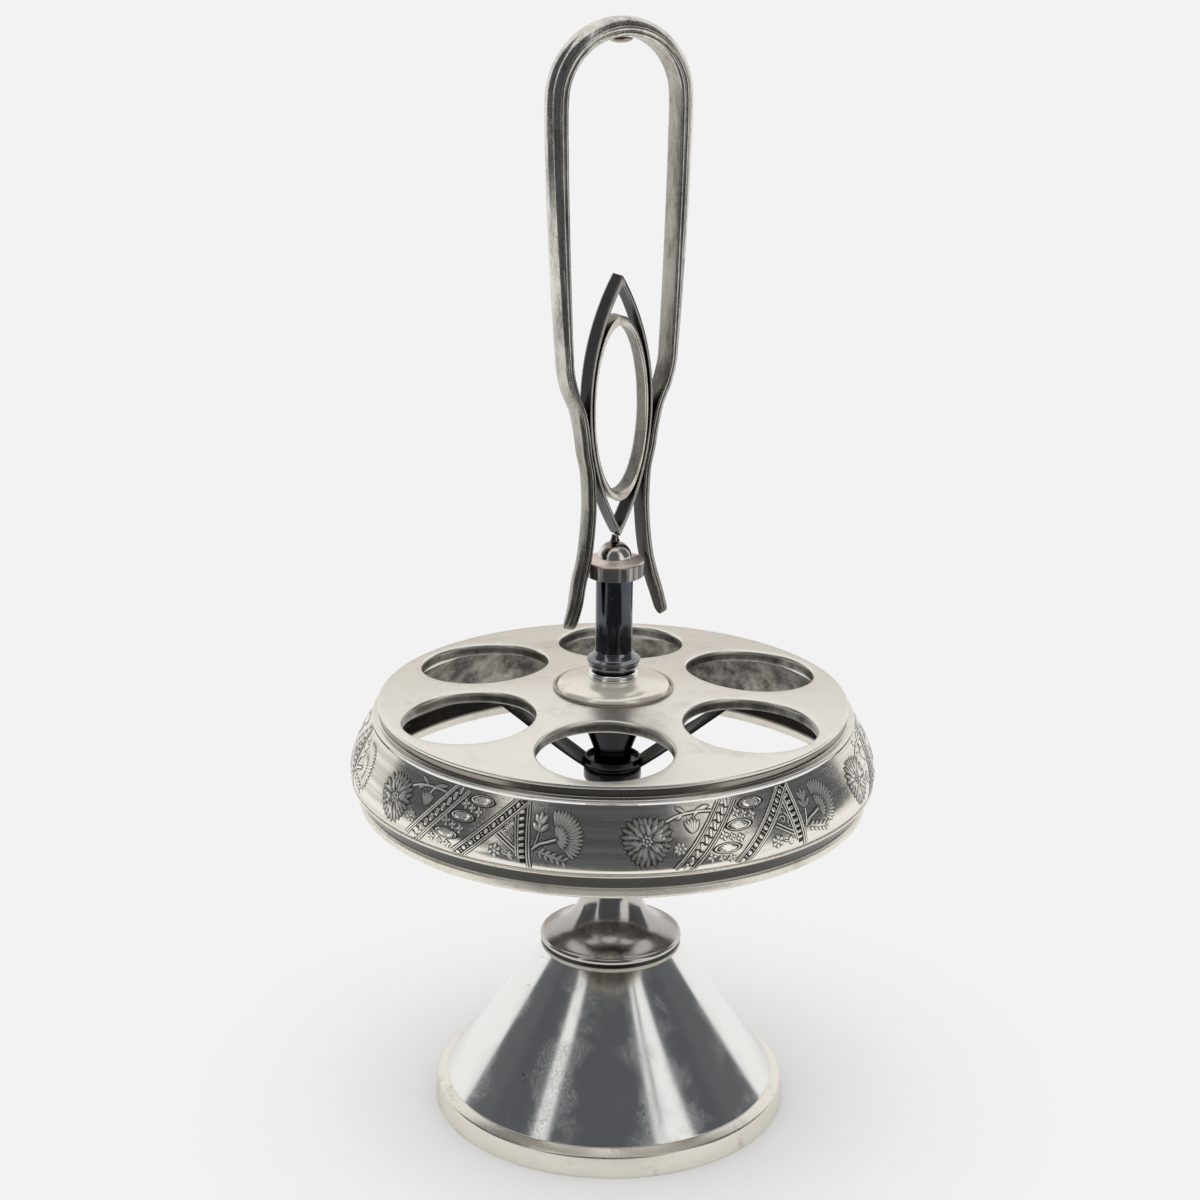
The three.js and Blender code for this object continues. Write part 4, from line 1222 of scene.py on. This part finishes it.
class BuildDome(Operator):
    """Turns the low dome, the seam at its foot and the ring on top"""

    bl_idname = "cruet.build_dome"
    bl_label = "Dome"

    def execute(self, context):
        foot = plate_top(21.0) + SOLDER_GAP
        crown = through([
            (20.95, foot), (19.85, foot + 1.5), (16.6, foot + 2.65), (12.8, foot + 3.35), (9.3, foot + 3.75),
        ], 6)
        outline = [*crown, (5.5, foot + 3.75), (5.5, foot + 2.8), (9.3, foot + 2.75), (16.2, foot + 1.7),
                   (18.7, foot + 0.9), (18.4, foot)]
        turned_piece("tray_dome", outline, 160, "tray", "silver_satin", cream_plate())
        seam_r = 21.0 + 0.5 + 0.27
        seam = arc(seam_r, plate_top(seam_r) + 0.6, 0.48, 0, 345, 14)
        turned_piece("dome_bead", seam, 160, "tray", "silver_oxidised", seam_plate())
        low = foot + 3.82
        turned_piece("dome_collar", rounded([
            (5.5, low, 0), (8.7, low, 0.2), (9.2, low + 0.7, 0.5), (8.75, low + 1.25, 0.2),
            (9.15, low + 1.8, 0.5), (8.5, low + 2.52, 0.4), (5.5, low + 2.52, 0),
        ]), 128, "tray", "silver_polished", mirror_plate())
        return {"FINISHED"}


def arm_half_width(x):
    """Half the strap's width at a distance from the axis."""
    widths = through([(8, 6.3), (17, 7.1), (28.4, 6.0), (42, 4.0), (49, 3.2), (50, 3.1)], 12)
    return min(widths, key=lambda w: abs(w[0] - x))[1]


class BuildHub(Operator):
    """Turns the tapered sleeve and its lipped seat, and shapes the strap's two arms"""

    bl_idname = "cruet.build_hub"
    bl_label = "Hub"

    def execute(self, context):
        top_z = plate_top(18.4) - PLATE_THICK - SOLDER_GAP
        tube_z = 140.7
        rise = top_z - tube_z
        outer = through([
            (6.9, tube_z), (9.4, tube_z + rise * 0.28), (14.2, tube_z + rise * 0.76), (18.3, top_z - 0.9),
        ], 6)
        inner = [(15.0, top_z), (13.0, tube_z + rise * 0.74), (7.8, tube_z + rise * 0.26),
                 (5.6, tube_z - 1.0)]
        outline = [(5.6, 136.75), (6.9, 136.75), *outer, (18.3, top_z), *inner]
        turned_piece("hub_funnel", outline, 96, "tray", "silver_dark", blackened_plate())
        seat = turned("hub_seat_turned", rounded([
            (5.6, 135.12, 0), (9.6, 135.12, 0.3), (10.35, 135.9, 0.3), (10.35, 138.25, 0.3),
            (9.5, 138.25, 0.3), (9.5, 136.7, 0.2), (5.6, 136.7, 0),
        ]), 96)
        dress(seat, "tray", "silver_dark", blackened_plate(), "hub_strap")
        for side, label in ((0, "right"), (math.pi, "left")):
            arm = self.arm(f"hub_arm_{label}", context.scene.cruet_tray.turn + side)
            dress(arm, "tray", "silver_dark", blackened_plate(), "hub_strap")
        return {"FINISHED"}

    def arm(self, name, turn):
        root, tab, reach, root_z = 10.0, 45.0, 49.0, 136.0
        tab_z = plate_top(tab) - 2.25
        spin = Matrix.Rotation(turn, 3, "Z")
        sections = []
        for k in range(33):
            x = root + (reach - root) * k / 32
            w = arm_half_width(x)
            level = root_z + (tab_z - root_z) * min((x - root) / (tab - root), 1.0)
            if x > tab:
                level = tab_z - PLATE_SLOPE * (x - tab)
            section = rectangle(w, 0.52, 0.25, 2)
            sections.append([tuple(spin @ Vector((x, y, level + z))) for y, z in section])
        return swept(name, sections, False)


# Column


class BuildColumn(Operator):
    """Turns the column's foot, its tube, the cap and the half-round nut"""

    bl_idname = "cruet.build_column"
    bl_label = "Column"

    def execute(self, context):
        low = 173.27
        turned_piece("column_foot", rounded([
            (3.3, low, 0), (8.6, low, 0.2), (9.35, low + 1.1, 0.6), (8.75, low + 2.0, 0.3),
            (9.85, low + 2.6, 0.35), (9.85, low + 3.2, 0.35), (8.3, low + 4.1, 1.2), (7.3, low + 5.5, 1.0),
            (7.05, low + 6.46, 0.15), (3.3, low + 6.46, 0),
        ]), 128, "stand", "silver_polished", column_plate())
        turned_piece("column_tube", rounded([
            (5.55, low + 6.5, 0), (6.75, low + 6.5, 0.15), (6.75, 208.08, 0.1), (5.55, 208.08, 0),
        ]), 128, "stand", "silver_polished", tube_plate())
        turned_piece("cap_disc", rounded([
            (3.3, 208.12, 0), (10.1, 208.12, 0.3), (10.75, 208.6, 0.3), (10.85, 213.4, 0.5),
            (10.4, 214.05, 0.3), (9.2, 214.2, 0.4), (6.5, 215.28, 0.3), (3.3, 215.28, 0),
        ]), 128, "stand", "silver_oxidised", bronzed_cap())
        crown = arc(0, 215.32, 6.1, 0, 90, 14, 5.45)[:-1]
        outline = [(0, 218.6), (3.3, 218.6), (3.3, 215.32), *crown, (0, 220.77)]
        turned_piece("dome_nut", outline, 96, "stand", "silver_polished", bronzed_nut())
        return {"FINISHED"}


# Handle

FRAME_Z = 271.5
FRAME_HALF_W = 13.1
FRAME_ABOVE = 46.1
FRAME_BELOW = 47.9
TIP_Z = 190.6
CROWN_Z = 400.8


def pointed_half_width(z, half_w, above, below):
    """Half the width at a height of a frame made of two crossing arcs."""
    half_h = above if z > FRAME_Z else below
    radius = (half_w * half_w + half_h * half_h) / (2 * half_w)
    return math.sqrt(max(radius * radius - (z - FRAME_Z) ** 2, 0)) - radius + half_w


def half_path(tip_s):
    """The middle of the handle's band in its plane, from the top down one leg."""
    half = arc(0, 377.7, 24.5, 90, 0, 6, 23.1)[1:]
    half += [(24.35, 357.7), (23.65, 335.7), (22.5, 309.0), (21.55, 292.0), (21.0, 285.0), (19.1, 278.0),
             (16.0, 270.5)]
    for share in (0.2, 0.345, 0.49):
        z = FRAME_Z - FRAME_BELOW * share
        half.append((pointed_half_width(z, FRAME_HALF_W, FRAME_ABOVE, FRAME_BELOW) + 1.524, z))
    half += [(11.1, 240.0), (11.0, 234.0), (11.5, 226.5), (12.3, 219.5), (13.4, 213.5), (14.9, 208.1),
             (tip_s - 2.4, TIP_Z + 7.6), (tip_s, TIP_Z)]
    return half


def handle_path():
    """The middle of the band from the tip of the right leg over the top to the left one."""
    right = list(reversed(half_path(20.6)))
    left = [(-s, z) for s, z in half_path(19.1)]
    return [Vector(p) for p in through(right + [(0, CROWN_Z)] + left, 9)]


def share_between(value, low, high):
    """0 below the lower height, 1 above the higher."""
    return min(max((value - low) / (high - low), 0), 1)


def band_size(z, from_tip):
    """The band's half-width, half-thickness at its edges, and crown."""
    grip = 1 - (1 - share_between(z, 288.0, CROWN_Z)) ** 2
    t = share_between(z, 238.0, 290.0)
    half_w = (7.4 + 2.4 * t * t * (3 - 2 * t)) / 2
    tip_r, taper = 3.0, 12.0
    if from_tip < tip_r:
        half_w = math.sqrt(tip_r * tip_r - (tip_r - from_tip) ** 2)
    elif from_tip < taper:
        half_w = tip_r + (half_w - tip_r) * (from_tip - tip_r) / (taper - tip_r)
    return half_w, 1.2 + 0.8 * grip, 1.2 + 1.2 * grip


def band_section(half_w, half_t, crown, reed):
    """The band's section as (across, outward, raised): flat inside, two reeds a side, crowned outside."""
    ridge = min(half_t * 0.42, half_w * 0.25)
    half = [(half_w - ridge * 1.5, -half_t, 0.0), (half_w - ridge * 0.8, -half_t * 0.97, 0.7)]
    for centre in (-half_t * 0.52, half_t * 0.3):
        for k in range(5):
            a = math.radians(-70 + 35 * k)
            half.append((half_w - ridge + ridge * math.cos(a), centre + ridge * math.sin(a), 1.0))
        half.append((half_w - min(reed, ridge), centre + ridge * 1.02, 0.25))
    for k in range(1, 9):
        q = 1 - k / 8
        swell = (crown + half_t * 0.2) * math.sqrt(1 - q * q)
        half.append(((half_w - ridge * 0.9) * q, half_t * 0.8 + swell, 1.0))
    return half + [(-n, m, lift) for n, m, lift in reversed(half[:-1])]


class BuildHandle(Operator):
    """Sweeps the reeded band over the top and down its two legs, and adds the bump under the top"""

    bl_idname = "cruet.build_handle"
    bl_label = "Handle"

    def execute(self, context):
        settings = context.scene.cruet_handle
        path = handle_path()
        spin = Matrix.Rotation(settings.turn, 3, "Z")
        lengths = [0.0]
        for a, b in zip(path, path[1:]):
            lengths.append(lengths[-1] + (b - a).length)
        sections = []
        for i, p in enumerate(path):
            along = (path[min(i + 1, len(path) - 1)] - path[max(i - 1, 0)]).normalized()
            outward = Vector((along.y, -along.x))
            from_tip = max(min(lengths[i], lengths[-1] - lengths[i]), 0.1)
            section = band_section(*band_size(p.y, from_tip), settings.reed_depth / MM)
            ring = []
            for n, m, _ in section:
                ring.append(tuple(spin @ Vector((p.x + outward.x * m, n, p.y + outward.y * m))))
            sections.append(ring)
        bow = swept("handle_bow_reeded", sections, False, 50, [lift for _, _, lift in section])
        dress(bow, "stand", "silver_polished", handle_plate(), "handle_bow")
        crest = arc(0, 398.0, 4.3, -90, 0, 10, 1.75)
        pip = turned("handle_pip_formed", [*crest, (3.0, 398.25), (0, 398.35)], 64)
        dress(pip, "stand", "silver_polished", pip_plate(), "handle_pip")
        return {"FINISHED"}


def frame_ring(name, outer, inner, depth, turn):
    """A flat closed frame in the handle's plane, between two outlines with as many points."""
    edge = 0.3
    spin = Matrix.Rotation(turn, 3, "Z")
    half = depth / 2
    sections = []
    for a, b in zip(outer, inner):
        a, b = Vector(a), Vector(b)
        e = min(edge / (b - a).length, 0.4)
        corner = [(0, half - 1.0, 0.0), (0, half - edge, 1.0), (e * 0.3, half - edge * 0.3, 1.0),
                  (e, half, 1.0)]
        front = corner + [(1 - t, n, lift) for t, n, lift in reversed(corner)]
        profile = front + [(t, -n, lift) for t, n, lift in reversed(front)]
        ring = []
        for t, n, _ in profile:
            p = a.lerp(b, t)
            ring.append(tuple(spin @ Vector((p.x, n, p.y))))
        sections.append(ring)
    return swept(name, sections, True, 40, [lift for _, _, lift in profile])


def pointed_outline(half_w, above, below, steps):
    """The pointed frame's outline, up one side and down the other."""
    out = []
    for i in range(steps * 2):
        side = 1 if i < steps else -1
        t = (i % steps) / steps
        upward = t if side > 0 else 1 - t
        z = FRAME_Z - below + (above + below) * upward
        out.append((side * pointed_half_width(z, half_w, above, below), z))
    return out


class BuildHandleFrames(Operator):
    """Makes the pointed frame between the legs, the oval ring in it and the neck below"""

    bl_idname = "cruet.build_frames"
    bl_label = "Pointed frame and oval ring"

    def execute(self, context):
        turn = context.scene.cruet_handle.turn
        outer = pointed_outline(FRAME_HALF_W, FRAME_ABOVE, FRAME_BELOW, 48)
        inner = pointed_outline(FRAME_HALF_W - 1.1, FRAME_ABOVE - 3.2, FRAME_BELOW - 3.2, 48)
        vesica = frame_ring("handle_vesica_formed", outer, inner, 7.2, turn)
        dress(vesica, "stand", "silver_polished", frame_plate(), "handle_vesica")
        outer = arc(0, 270.0, 11.35, 0, 360, 112, 33.4)[:-1]
        inner = arc(0, 270.0, 10.4, 0, 360, 112, 30.2)[:-1]
        oval = frame_ring("handle_oval_ring_formed", outer, inner, 6.8, turn)
        dress(oval, "stand", "silver_oxidised", oval_plate(), "handle_oval_ring")
        turned_piece("handle_neck", [
            (0, 221.1), (1.85, 221.1), (1.6, 221.5), (1.4, 221.9), (1.15, 223.25), (0, 223.25),
        ], 40, "stand", "silver_polished", column_plate())
        return {"FINISHED"}


# Parts that the foot and the tray hide


class FinishHiddenParts(Operator):
    """Gives the rod, its nut, the washers and the sleeve their metals"""

    bl_idname = "cruet.finish_hidden"
    bl_label = "Rod, nut and washers"

    def execute(self, context):
        metals = {
            dark_steel: ("tie_rod", "base_nut"),
            bare_brass: ("base_washer",),
            blackened_plate: ("thrust_washer", "retaining_washer", "spindle_sleeve"),
        }
        for metal, nodes in metals.items():
            for node in nodes:
                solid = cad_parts[node]
                solid.data.materials.clear()
                solid.data.materials.append(metal())
        return {"FINISHED"}


# Stage


def bare_tree(owner):
    """The emptied node tree of a material or world."""
    owner.use_nodes = True
    owner.node_tree.nodes.clear()
    return owner.node_tree


def plain_shader(name, colour):
    """A material that shows one even colour."""
    material = bpy.data.materials.new(name)
    tree = bare_tree(material)
    out = add(tree, "ShaderNodeOutputMaterial")
    feed(out.inputs["Surface"], worked(tree, "ShaderNodeEmission", {"Color": colour}))
    return material


def stage_sheet(name, points, material):
    """A flat sheet of the studio."""
    mesh = bpy.data.meshes.new(name)
    mesh.from_pydata(points, [], [[0, 1, 2, 3]])
    mesh.materials.append(material)
    obj = linked(name, mesh)
    return obj


def screen(name, points, material):
    """A studio screen that only shows in the metal."""
    obj = stage_sheet(name, points, material)
    obj.visible_camera = False
    obj.visible_diffuse = False
    obj.visible_transmission = False
    obj.visible_volume_scatter = False
    obj.visible_shadow = False


class BuildStage(Operator):
    """Sets the pale floor, the background, the studio's screens, the lamp and the camera"""

    bl_idname = "cruet.build_stage"
    bl_label = "Stage"

    def execute(self, context):
        settings = context.scene.cruet_stage
        self.world(settings)
        self.floor(settings)
        self.screens()
        self.lamp(settings)
        self.camera(context)
        return {"FINISHED"}

    def world(self, settings):
        world = bpy.data.worlds.new("Studio")
        bpy.context.scene.world = world
        tree = bare_tree(world)
        path = outputs(add(tree, "ShaderNodeLightPath"))
        seen = calc("MAXIMUM", path["Is Camera Ray"], path["Is Glossy Ray"])
        seen = calc("MAXIMUM", seen, path["Is Transmission Ray"])
        even = (settings.floor_light,) * 3
        light = {"Color": blend(seen, even, settings.background)}
        out = add(tree, "ShaderNodeOutputWorld")
        feed(out.inputs["Surface"], worked(tree, "ShaderNodeBackground", light))

    def floor(self, settings):
        material = bpy.data.materials.new("Pale floor")
        tree = bare_tree(material)
        where = outputs(add(tree, "ShaderNodeTexCoord"))["Object"]
        paint = worked(tree, "ShaderNodeBsdfDiffuse", {"Color": (0.85, 0.85, 0.845)})
        glow = worked(tree, "ShaderNodeEmission", {"Color": settings.background})
        shadow_r, even_r = 0.08, 0.24
        far = remap(polar(where)[0], shadow_r, even_r)
        out = add(tree, "ShaderNodeOutputMaterial")
        feed(out.inputs["Surface"], worked(tree, "ShaderNodeMixShader", {0: far, 1: paint, 2: glow}))
        reach = 6
        corners = [(-reach, -reach, 0), (reach, -reach, 0), (reach, reach, 0), (-reach, reach, 0)]
        stage_sheet("studio_floor", corners, material)

    def screens(self):
        """Screens round the stand; the gaps between the dark ones show as bright streaks in the metal."""
        side = plain_shader("Side screen", (0.11, 0.115, 0.125))
        front = plain_shader("Front screen", (0.088, 0.093, 0.103))
        # Height of the foot, angles of the start and the end at foot and top, and tone
        spans = [
            (0.0, (-108, -131), (-85, -85), side),
            (0.0, (-85, -85), (-50, -63), front), (0.0, (-46, -34), (34, 31), front),
            (0.9, (38, 38), (41, 41), front), (0.0, (66, 39), (85, 85), front),
            (0.0, (85, 85), (119, 109), side),
        ]
        radius, top, widest = 1.6, 3.2, 12
        for number, (foot, start, end, tone) in enumerate(spans):
            parts = max(1, round((end[0] - start[0]) / widest))
            for k in range(parts):
                corners = []
                for share, level in ((k, 0), (k + 1, 0), (k + 1, 1), (k, 1)):
                    turn = start[level] + (end[level] - start[level]) * share / parts
                    corners.append((*(ray(math.radians(turn - 90)) * radius), (foot, top)[level]))
                screen(f"screen_{number}_{k}", corners, tone)
        back = [(-0.45, radius, 0.0), (0.45, radius, 0.0), (0.45, radius, 0.735), (-0.45, radius, 0.735)]
        screen("screen_back", back, plain_shader("Back screen", (0.6, 0.56, 0.52)))
        table = [(-1.3, -radius, 0.002), (1.3, -radius, 0.002), (0.35, -0.26, 0.002), (-0.35, -0.26, 0.002)]
        screen("screen_table", table, front)

    def lamp(self, settings):
        data = bpy.data.lights.new("lamp_over", "AREA")
        data.shape = "DISK"
        data.size = 1.3
        data.energy = settings.lamp_power
        obj = linked("lamp_over", data)
        obj.location = (-0.35, -0.25, 1.7)
        aim = Vector((0, 0, 0.15)) - obj.location
        obj.rotation_euler = aim.to_track_quat("-Z", "Y").to_euler()
        obj.visible_glossy = False

    def camera(self, context):
        place = (0, -0.8239, 0.4649)
        pitch, yaw, roll = (math.radians(d) for d in (17.92, -0.36, 0.53))
        ahead = Vector((math.sin(yaw) * math.cos(pitch), math.cos(yaw) * math.cos(pitch), -math.sin(pitch)))
        level = ahead.cross(Vector((0, 0, 1))).normalized()
        upright = level.cross(ahead)
        right = level * math.cos(roll) + upright * math.sin(roll)
        up = upright * math.cos(roll) - level * math.sin(roll)
        data = bpy.data.cameras.new("photo_camera")
        data.sensor_width = 36
        data.lens = 71.53
        obj = linked("photo_camera", data)
        turn = Matrix((right, up, -ahead)).transposed()
        obj.matrix_world = Matrix.Translation(place) @ turn.to_4x4()
        context.scene.camera = obj
        context.scene.view_settings.view_transform = "Standard"


STEPS = (BuildFoot, BuildPedestal, BuildPlate, BuildTrayEdge, BuildOrnament, BuildDome, BuildHub,
         BuildColumn, BuildHandle, BuildHandleFrames, FinishHiddenParts, BuildStage)
SETTINGS = {
    "cruet_foot": CruetFoot,
    "cruet_tray": CruetTray,
    "cruet_handle": CruetHandle,
    "cruet_finish": CruetFinish,
    "cruet_stage": CruetStage,
}


class CruetPanel(Panel):
    """Lists the steps that dress the cruet stand, and their settings"""

    bl_idname = "VIEW3D_PT_cruet_stand"
    bl_label = "Cruet stand"
    bl_space_type = "VIEW_3D"
    bl_region_type = "UI"
    bl_category = "Cruet stand"

    def draw(self, context):
        layout = self.layout
        for name in SETTINGS:
            settings = getattr(context.scene, name)
            box = layout.box()
            for key in settings.__annotations__:
                box.prop(settings, key)
        for step in STEPS:
            layout.operator(step.bl_idname)


def register():
    for cls in (*SETTINGS.values(), *STEPS, CruetPanel):
        bpy.utils.register_class(cls)
    for name, cls in SETTINGS.items():
        setattr(bpy.types.Scene, name, PointerProperty(type=cls))


def unregister():
    for name in SETTINGS:
        delattr(bpy.types.Scene, name)
    for cls in reversed((*SETTINGS.values(), *STEPS, CruetPanel)):
        bpy.utils.unregister_class(cls)


def main():
    register()
    bpy.ops.cruet.build_foot()
    bpy.ops.cruet.build_pedestal()
    bpy.ops.cruet.build_plate()
    bpy.ops.cruet.build_tray_edge()
    bpy.ops.cruet.build_ornament()
    bpy.ops.cruet.build_dome()
    bpy.ops.cruet.build_hub()
    bpy.ops.cruet.build_column()
    bpy.ops.cruet.build_handle()
    bpy.ops.cruet.build_frames()
    bpy.ops.cruet.finish_hidden()
    bpy.ops.cruet.build_stage()


if __name__ == "__main__":
    main()
